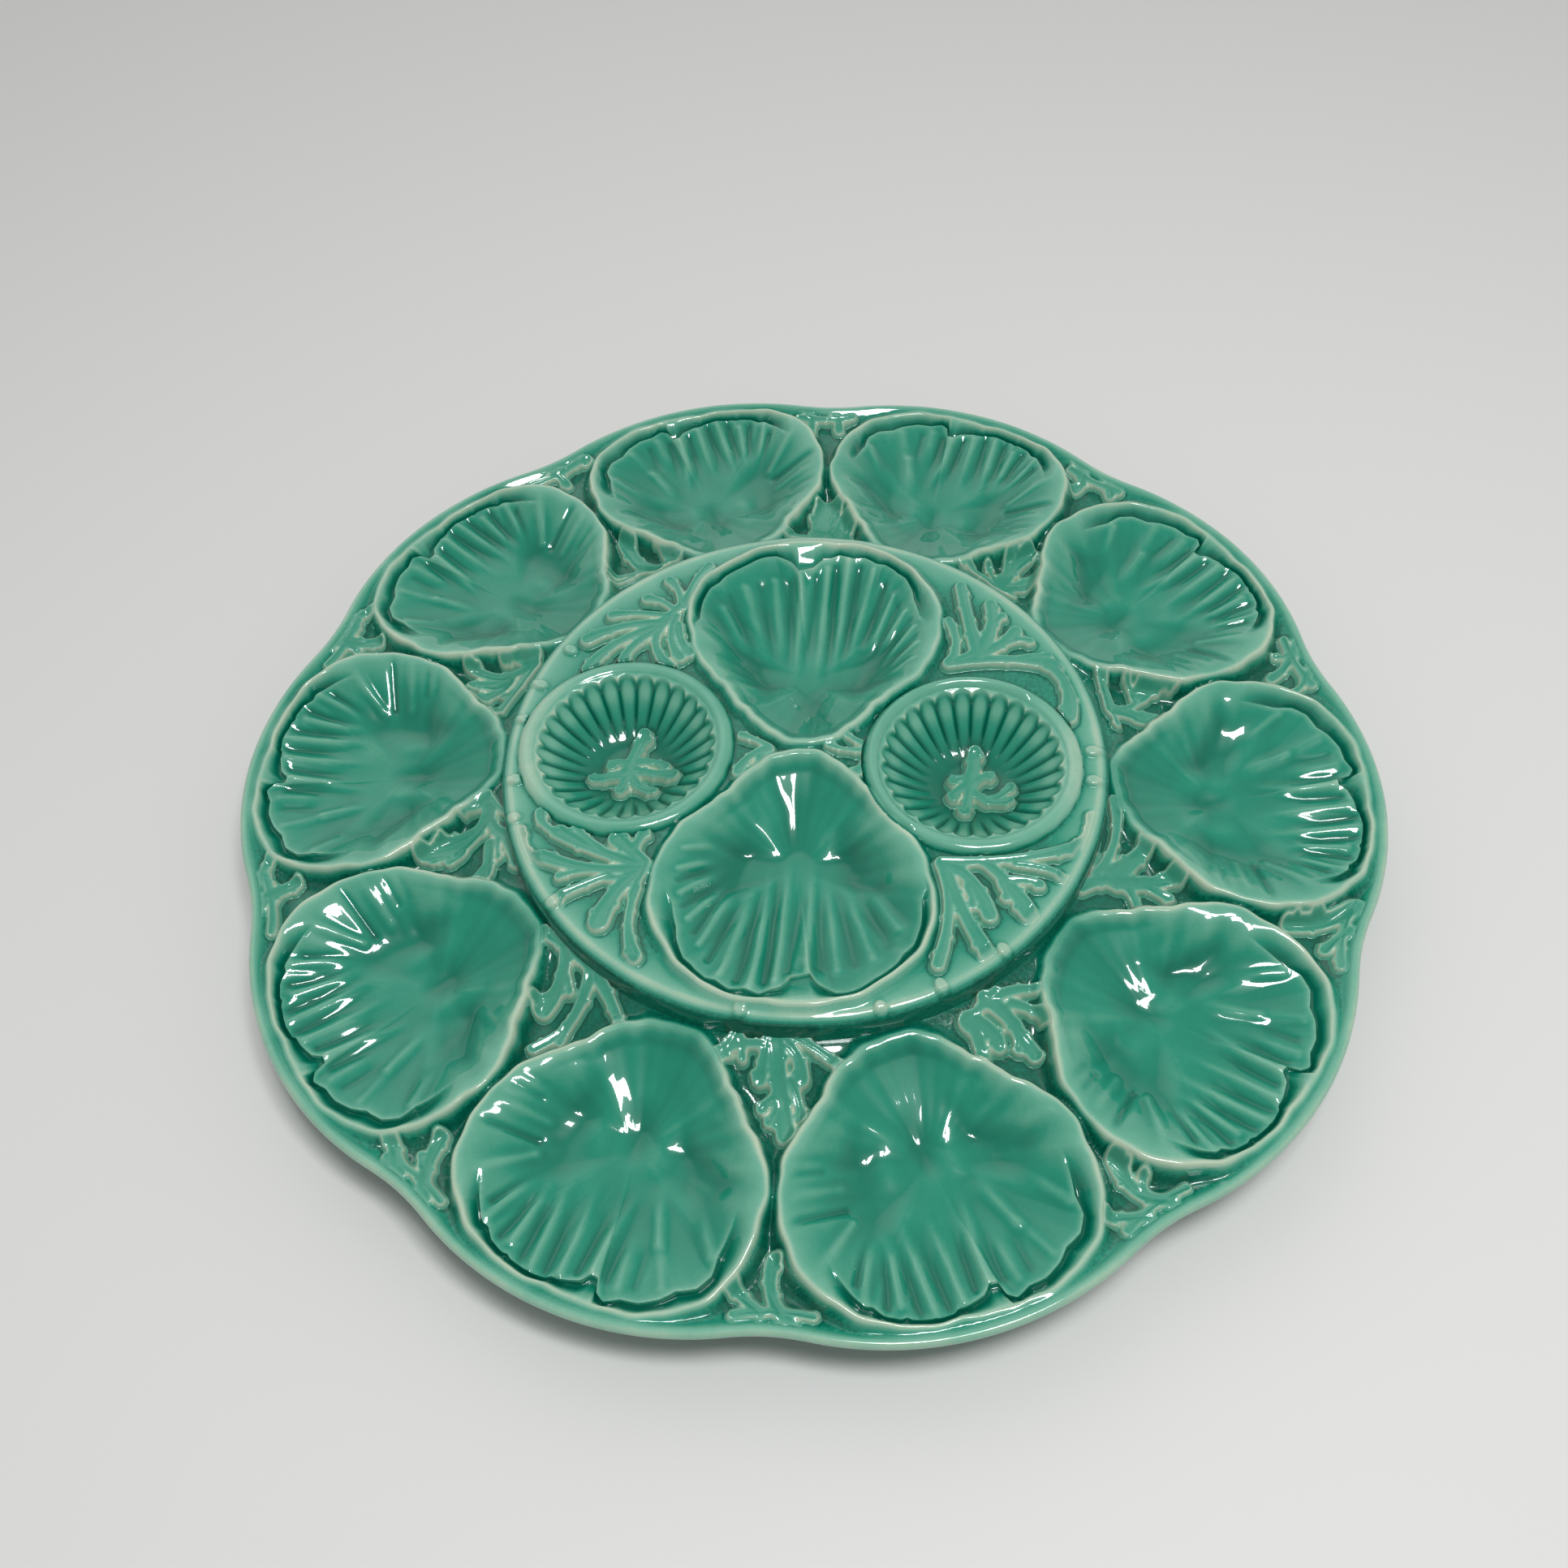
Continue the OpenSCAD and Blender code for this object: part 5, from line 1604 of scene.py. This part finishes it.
class CopyRing:
    """Geometry Nodes that turn copies of a mesh round the axis, then move and weld them."""

    def __init__(self) -> None:
        """Builds the tree."""
        self.tree = bpy.data.node_groups.new("ring_of_copies", "GeometryNodeTree")
        self.ids: dict[str, str] = {}
        for name, kind in (("Mesh", "Geometry"), ("Copies", "Int"), ("Step", "Float"), ("Start", "Float"),
                           ("Only", "Int"), ("Place", "Vector"), ("Glaze", "Material")):
            socket = self.tree.interface.new_socket(name, in_out="INPUT", socket_type="NodeSocket" + kind)
            self.ids[name] = socket.identifier
        self.tree.interface.new_socket("Mesh", in_out="OUTPUT", socket_type="NodeSocketGeometry")
        board = Board(self.tree)
        given = board.add("NodeGroupInput").outputs
        points = board.add("GeometryNodePoints", None, given["Copies"])
        index = board.wire(board.add("GeometryNodeInputIndex"))
        angle = board.add("ShaderNodeCombineXYZ", None, None, None,
                          index * Wire(board, given["Step"]) + Wire(board, given["Start"]))
        wanted = board.add("FunctionNodeCompare", {"data_type": "INT", "operation": "EQUAL"})
        self.tree.links.new(index.socket, wanted.inputs[2])
        self.tree.links.new(given["Only"], wanted.inputs[3])
        every = board.add("FunctionNodeCompare", {"data_type": "INT", "operation": "LESS_THAN"})
        self.tree.links.new(given["Only"], every.inputs[2])
        either = board.add("FunctionNodeBooleanMath", {"operation": "OR"}, wanted.outputs[0],
                           every.outputs[0])
        copies = board.add("GeometryNodeInstanceOnPoints", None, Points=points.outputs[0],
                           Selection=either.outputs[0], Instance=given["Mesh"], Rotation=angle.outputs[0])
        real = board.add("GeometryNodeRealizeInstances", None, copies.outputs[0])
        weld = board.add("GeometryNodeMergeByDistance", None, Geometry=real.outputs[0], Distance=2.0e-6)
        moved = board.add("GeometryNodeTransform", None, Geometry=weld.outputs[0], Translation=given["Place"])
        dressed = board.add("GeometryNodeSetMaterial", None, Geometry=moved.outputs[0],
                            Material=given["Glaze"])
        board.add("NodeGroupOutput", None, dressed.outputs[0])

    def run(self, master: bpy.types.Mesh, name: str, glaze: bpy.types.Material, copies: int,
            start: float = 0.0, only: int = -1,
            place: Sequence[float] = (0.0, 0.0, 0.0)) -> bpy.types.Mesh:
        """Evaluates the tree on a master mesh and returns a plain mesh.

        Args:
            master: Mesh to copy.
            name: Name of the result.
            glaze: Material of the result.
            copies: Number of copies that fill a turn.
            start: Turn of the first copy in degrees.
            only: The one copy to keep, or -1 for all.
            place: Shift in millimetres.

        Returns:
            The mesh.
        """
        maker = bpy.data.objects.new(name + "_maker", master)
        bpy.context.scene.collection.objects.link(maker)
        press = maker.modifiers.new("ring_of_copies", "NODES")
        press.node_group = self.tree
        values = {"Copies": copies, "Step": math.radians(360.0 / copies), "Start": math.radians(start),
                  "Only": only, "Place": tuple(v * MM for v in place), "Glaze": glaze}
        for key, value in values.items():
            press[self.ids[key]] = value
        graph = bpy.context.evaluated_depsgraph_get()
        mesh = bpy.data.meshes.new_from_object(maker.evaluated_get(graph))
        mesh.name = name
        maker.modifiers.remove(press)
        bpy.data.objects.remove(maker)
        mesh.set_sharp_from_angle(angle=SHARP)
        return mesh


# Pieces

@dataclass
class ShellWells:
    """The shell wells: one pressed master for the ring and one for the centre."""
    press: ShellPress
    surface: Field
    underside: Field
    copies: int
    nodes: tuple[str, ...]
    start: float
    spokes: int = 480
    rings: int = 60

    def master(self, name: str) -> bpy.types.Mesh:
        """The well in its own frame, closed underneath.

        Args:
            name: The mesh's name.

        Returns:
            The closed mesh.
        """
        lip = self.press.lip
        px, py = lip.pole_mm
        deg = np.arange(self.spokes) * 360.0 / self.spokes - 180.0
        reach = lip.look_up(lip.table(1), deg)
        edge = self.press.edge_radius(deg)
        t = np.linspace(0.0, 1.0, self.rings + 1)[1:, None]
        r = np.where(t < 0.75, edge * t / 0.75, edge + (reach - edge) * (t - 0.75) / 0.25)
        outer = [lip.spoke(deg, out)[None] for out in (0.4, 0.8, 1.15, SIZE.flank)]
        r = np.vstack([r] + outer)
        c, s = np.cos(np.radians(deg)), np.sin(np.radians(deg))
        x, y = px + r * c, py + r * s
        top = np.stack([x, y, self.surface(x, y)], -1)
        under_at = np.array([1.0, 0.97, 0.92, 0.85, 0.75, 0.62, 0.48, 0.33, 0.18])[:, None] * r[-1]
        ux, uy = px + under_at * c, py + under_at * s
        low = np.stack([ux, uy, self.low(ux, uy)], -1)
        poles = [(px, py, float(f(np.array([px]), np.array([py]))[0])) for f in (self.surface, self.low)]
        return mesh_of(name, *loft(np.concatenate([top, low]), True, *poles))

    def low(self, x: Array, y: Array) -> Array:
        """Underside of the well: a smooth bowl a wall below the hollow.

        Args:
            x: Places along X.
            y: Places along Y.

        Returns:
            Heights in millimetres.
        """
        r, a = self.press.lip.polar(x, y)
        share = np.clip(r / self.press.lip.look_up(self.press.lip.table(1), a), 0.0, 1.0)
        bowl = self.press.floor_h - SIZE.wall + self.press.depth * smooth(0.40, 1.0, share)
        flat = self.underside(x, y)
        return soft_min(bowl, flat, 2.0)

    def build(self, glazier: Glazier, ring: CopyRing) -> None:
        """Presses and hands in every well.

        Args:
            glazier: Who glazes and hands in.
            ring: Who copies a mesh round the axis.
        """
        master = self.master(self.nodes[0] + "_master")
        for k, node in enumerate(self.nodes):
            mesh = ring.run(master, node, glazier.mats[Finish.SHELL], self.copies, self.start, k)
            glazier.hand_in(mesh, node, Finish.SHELL)
        bpy.data.meshes.remove(master)


@dataclass
class SauceCup:
    """A round cup, pressed as one petal and copied round."""
    press: CupPress
    spokes: int = 24
    radius_spans: tuple[tuple[float, float, int], ...] = (
        (0.8, 24.0, 26), (24.4, 29.8, 19), (30.3, 35.0, 11))
    low_radii: tuple[float, ...] = (30.0, 26.0, 22.0, 17.0, 12.0, 6.0)
    bead_h: float = 0.9
    bead_r: float = 31.9
    bead_w: float = 1.7
    bead_end: float = 5.0

    def master(self) -> bpy.types.Mesh:
        """One petal of the cup, open at both sides.

        Returns:
            The open mesh.
        """
        cup = self.press
        radii = np.concatenate([np.linspace(*span) for span in self.radius_spans])
        angle = np.linspace(0.0, 2.0 * math.pi / cup.petals, self.spokes + 1)
        r, a = radii[:, None] + 0.0 * angle, 0.0 * radii[:, None] + angle
        top = np.stack([r * np.cos(a), r * np.sin(a), cup.height(r, a)], -1)
        lows = []
        for out in (cup.outer_r, *self.low_radii):
            z = min(SIZE.centre_under, float(cup.bowl(np.array(out)) - SIZE.wall))
            lows.append(np.stack([out * np.cos(angle), out * np.sin(angle), np.full(angle.shape, z)], -1))
        return mesh_of("petal", *loft(np.concatenate([top, np.array(lows)]), False,
                                      (0.0, 0.0, cup.floor_h), (0.0, 0.0, cup.floor_h - SIZE.wall)))

    def build(self, glazier: Glazier, ring: CopyRing) -> None:
        """Copies the petal round, welds it and hands it in.

        Args:
            glazier: Who glazes and hands in.
            ring: Who copies a mesh round the axis.
        """
        node = self.press.node
        mesh = ring.run(self.master(), node, glazier.mats[Finish.SHELL], self.press.petals,
                        place=(*self.press.place, 0.0))
        if self.press.bead:
            self.raise_bead(mesh)
        glazier.hand_in(mesh, node, Finish.SHELL)

    def raise_bead(self, mesh: bpy.types.Mesh) -> None:
        """Raises the stem that lies round part of the cup's edge.

        Args:
            mesh: The mesh.
        """
        co = points_of(mesh)
        r, angle = self.press.polar(co[:, 0] / MM, co[:, 1] / MM)
        start, end = self.press.bead
        along = (np.degrees(angle) - start) % 360.0
        span = end - start
        on = smooth(0.0, self.bead_end, along) * (1.0 - smooth(span - self.bead_end, span, along))
        on = on * np.exp(-((r - self.bead_r) / self.bead_w) ** 2)
        on = on * (co[:, 2] > (self.press.edge_h - 4.0) * MM)
        co[:, 2] += (self.bead_h * MM * on).astype(np.float32)
        mesh.vertices.foreach_set("co", co.ravel())
        mesh.update()


@dataclass
class FootRing:
    """The turned ring that the plate stands on, with a rounded tread."""
    sectors: int = 96
    tread_r: float = 2.4

    def build(self, glazier: Glazier, ring: CopyRing) -> None:
        """Turns the profile round and hands it in.

        Args:
            glazier: Who glazes and hands in.
            ring: Who copies a mesh round the axis.
        """
        out_r, h, w, q = SIZE.foot_r, SIZE.under_h, SIZE.foot_w, self.tread_r
        bend = np.radians(np.arange(0, 91, 15))
        outer = [(out_r - q + q * math.cos(b), q - q * math.sin(b)) for b in bend]
        inner = [(out_r - w + q - q * math.sin(b), q - q * math.cos(b)) for b in bend]
        profile = np.array([(out_r - w, h), (out_r, h)] + outer + inner + [(out_r - w, h)])
        angle = np.radians(np.linspace(0.0, 360.0 / self.sectors, 4))
        rings = np.stack([profile[:, :1] * np.cos(angle), profile[:, :1] * np.sin(angle),
                          profile[:, 1:] + 0.0 * angle], -1)
        mesh = ring.run(mesh_of("foot_sector", *loft(rings, False)), "foot_ring", glazier.mats[Finish.FOOT],
                        self.sectors)
        glazier.hand_in(mesh, "foot_ring", Finish.FOOT)


@dataclass
class PlatterBody:
    """The sunken ground with its rolled, ten-lobed rim and flared underside."""
    step: float = 0.85
    lap: float = 0.04
    tilts: tuple[int, ...] = (66, 44, 22, 0, -25, -50)

    def region(self, x: Array, y: Array) -> Array:
        """Inside the crest of the rim, outside the wells and the raised centre.

        Args:
            x: Places along X.
            y: Places along Y.

        Returns:
            Signed distances, negative inside.
        """
        crest = PLATE.rim_distance(x, y) + SIZE.roll_w / 2.0
        well = SIZE.flank - self.lap - PLATE.ring_lips(x, y)[0]
        return np.maximum(np.maximum(crest, well), SIZE.centre_r - self.lap - np.hypot(x, y))

    def edge(self, x: Array, y: Array, top: Array, under: Array) -> list[Array]:
        """The roll over the rim, and plain walls at the other edges.

        Args:
            x: Places along X.
            y: Places along Y.
            top: Heights of the top there.
            under: Heights of the underside there.

        Returns:
            Rings of points from the top down.
        """
        roll = SIZE.roll_w / 2.0
        off = PLATE.rim_distance(x, y)
        nx = (PLATE.rim_distance(x + 0.1, y) - PLATE.rim_distance(x - 0.1, y)) / 0.2
        ny = (PLATE.rim_distance(x, y + 0.1) - PLATE.rim_distance(x, y - 0.1)) / 0.2
        rim = np.abs(off + roll) < 0.2
        rings = []
        for k, tilt in enumerate(self.tilts):
            out = np.where(rim, roll * math.cos(math.radians(tilt)), 0.0)
            down = top + (under - top) * (k + 1.0) / (len(self.tilts) + 1.0)
            z = np.where(rim, top - roll + roll * math.sin(math.radians(tilt)), down)
            rings.append(np.column_stack([x + nx * out, y + ny * out, z]))
        return rings

    def build(self, glazier: Glazier) -> None:
        """Presses the ground and hands it in.

        Args:
            glazier: Who glazes and hands in.
        """
        half = SIZE.plate_r
        slab = Slab(self.region, PLATE.annulus, PLATE.underside, (-half, -half, half, half),
                    self.step, self.edge)
        glazier.hand_in(slab.mesh("platter_body"), "platter_body", Finish.GROUND)


@dataclass
class RaisedCentre:
    """The round plateau in the middle, open where its wells and cups hang."""
    step: float = 0.52
    lap: float = 0.04
    round_w: float = 3.5
    tilts: tuple[int, ...] = (75, 58, 41, 24, 8)
    wall_foot: float = 5.0
    wall_w: float = 3.4

    def region(self, x: Array, y: Array) -> Array:
        """Inside the rounded edge, outside the two wells and the two cups.

        Args:
            x: Places along X.
            y: Places along Y.

        Returns:
            Signed distances, negative inside.
        """
        d = np.hypot(x, y) - (SIZE.centre_r - self.round_w)
        d = np.maximum(d, SIZE.flank - self.lap - PLATE.centre_lips(x, y))
        for cup in CUPS:
            d = np.maximum(d, cup.outer_r - self.lap - cup.polar(x, y)[0])
        return d

    def edge(self, x: Array, y: Array, top: Array, under: Array) -> list[Array]:
        """The rounded outer edge and its wall, and plain walls at the openings.

        Args:
            x: Places along X.
            y: Places along Y.
            top: Heights of the top there.
            under: Heights of the underside there.

        Returns:
            Rings of points from the top down.
        """
        r = np.hypot(x, y)
        q = self.round_w
        outer = np.abs(r - (SIZE.centre_r - q)) < 0.05
        base = SIZE.centre_h - q
        rings = []
        for tilt in self.tilts:
            lift = math.sin(math.radians(tilt))
            rings.append((q * math.cos(math.radians(tilt)), base + (top - base) * lift))
        rings += [(q, SIZE.seat_h + self.wall_foot), (q, SIZE.seat_h), (q - self.wall_w, SIZE.seat_h)]
        made = []
        for k, (out, z) in enumerate(rings):
            grow = np.where(outer, 1.0 + out / r, 1.0)
            down = top + (under - top) * (k + 1.0) / (len(rings) + 1.0)
            made.append(np.column_stack([x * grow, y * grow, np.where(outer, z, down)]))
        return made

    def build(self, glazier: Glazier) -> None:
        """Presses the plateau and hands it in.

        Args:
            glazier: Who glazes and hands in.
        """
        half = SIZE.centre_r
        slab = Slab(self.region, PLATE.plateau, PLATE.centre_flat, (-half, -half, half, half),
                    self.step, self.edge)
        glazier.hand_in(slab.mesh("raised_centre"), "raised_centre", Finish.GROUND)


# Stage

@dataclass
class Studio:
    """Pale table, soft light from above and the camera that matches the photograph."""
    floor_grey: float = 0.72
    camera_at: tuple[float, float, float] = (25.953, -297.745, 436.588)
    ahead: tuple[float, float, float] = (-0.063766, 0.579439, -0.812517)
    right: tuple[float, float, float] = (0.997479, 0.062414, -0.033772)
    lens: float = 35.96
    table_half: float = 9000.0
    windows: dict[str, tuple[float, float, float]] = field(default_factory=lambda: {
        "window_left": (0.10, -0.26, 1.25), "window_right": (0.33, -0.24, 1.22)})
    window_size: Pair = (0.17, 0.34)
    window_watts: float = 5.0

    def lay_table(self) -> None:
        """A plain floor under the plate."""
        corners = np.array([(-1, -1, 0), (1, -1, 0), (1, 1, 0), (-1, 1, 0)], float)
        mesh = mesh_of("table", corners * self.table_half, [np.array([[0, 1, 2, 3]])])
        mat = bpy.data.materials.new("table_paper")
        mat.use_nodes = True
        shader = mat.node_tree.nodes["Principled BSDF"]
        grey = self.floor_grey
        shader.inputs["Base Color"].default_value = (grey, grey, grey * 0.99, 1.0)
        shader.inputs["Roughness"].default_value = 0.6
        mesh.materials.append(mat)
        table = bpy.data.objects.new("table", mesh)
        bpy.context.scene.collection.objects.link(table)

    def add_panel(self, name: str, at: tuple[float, float, float], size: Pair, watts: float) -> None:
        """A soft rectangular light that faces the plate.

        Args:
            name: The lamp's name.
            at: Its place in metres.
            size: Its width and length in metres.
            watts: Its power.
        """
        data = bpy.data.lights.new(name, "AREA")
        data.shape = "RECTANGLE"
        data.size, data.size_y = size
        data.energy = watts
        lamp = bpy.data.objects.new(name, data)
        lamp.location = at
        lamp.rotation_euler = (-Vector(at)).to_track_quat("-Z", "Y").to_euler()
        bpy.context.scene.collection.objects.link(lamp)

    def light(self) -> None:
        """A soft sky with a glow on the far side, and two lamps that show in the glaze."""
        world = bpy.data.worlds.new("studio")
        world.use_nodes = True
        board = Board(world.node_tree)
        sky = world.node_tree.nodes["Background"]
        sky.inputs["Color"].default_value = (1.0, 1.0, 0.98, 1.0)
        parts = board.add("ShaderNodeSeparateXYZ", None, board.add("ShaderNodeTexCoord").outputs["Generated"])
        across, away, up = (board.wire(parts, name) for name in "XYZ")
        glow = ((across * -0.30 + away * 0.62 + up * 0.72 - 0.88) * 8.0).clamped()
        strength = up * -0.34 + away * 0.12 + 0.58 + glow * 0.75
        world.node_tree.links.new(strength.socket, sky.inputs["Strength"])
        bpy.context.scene.world = world
        for name, place in self.windows.items():
            self.add_panel(name, place, self.window_size, self.window_watts)

    def place_camera(self) -> None:
        """The camera, fitted to the ring of wells in the photograph."""
        data = bpy.data.cameras.new("photo_view")
        data.lens = self.lens
        data.sensor_width = 36.0
        data.clip_end = 20.0
        ahead, right = Vector(self.ahead).normalized(), Vector(self.right)
        up = right.cross(ahead)
        turn = Matrix((right, up, -ahead)).transposed().to_4x4()
        camera = bpy.data.objects.new("photo_view", data)
        camera.matrix_world = Matrix.Translation(Vector(self.camera_at) * MM) @ turn
        bpy.context.scene.collection.objects.link(camera)
        bpy.context.scene.camera = camera


def main() -> None:
    """Builds the plate piece by piece, then the studio."""
    logging.basicConfig(level=logging.INFO, format="%(message)s")
    weeds = [Seaweed(spray) for spray in all_sprays()]
    glazier = Glazier(GlazeMap(weeds))
    ring = CopyRing()
    FootRing().build(glazier, ring)
    PlatterBody().build(glazier)
    RaisedCentre().build(glazier)
    ring_nodes = tuple(f"oyster_well_{k:02d}" for k in range(1, SIZE.lobes + 1))
    ShellWells(RING_SHELL, PLATE.ring_well, PLATE.ring_under, SIZE.lobes, ring_nodes,
               lobe_place(1)).build(glazier, ring)
    ShellWells(CENTRE_SHELL, PLATE.centre_well, PLATE.centre_flat, 2,
               ("centre_well_back", "centre_well_front"), 0.0).build(glazier, ring)
    for cup in CUPS:
        SauceCup(cup).build(glazier, ring)
    for weed in weeds:
        glazier.hand_in(weed.mesh(), weed.spray.node, Finish.WEED)
    studio = Studio()
    studio.lay_table()
    studio.light()
    studio.place_camera()
    bpy.context.scene.view_settings.view_transform = "Standard"


if __name__ == "__main__":
    main()
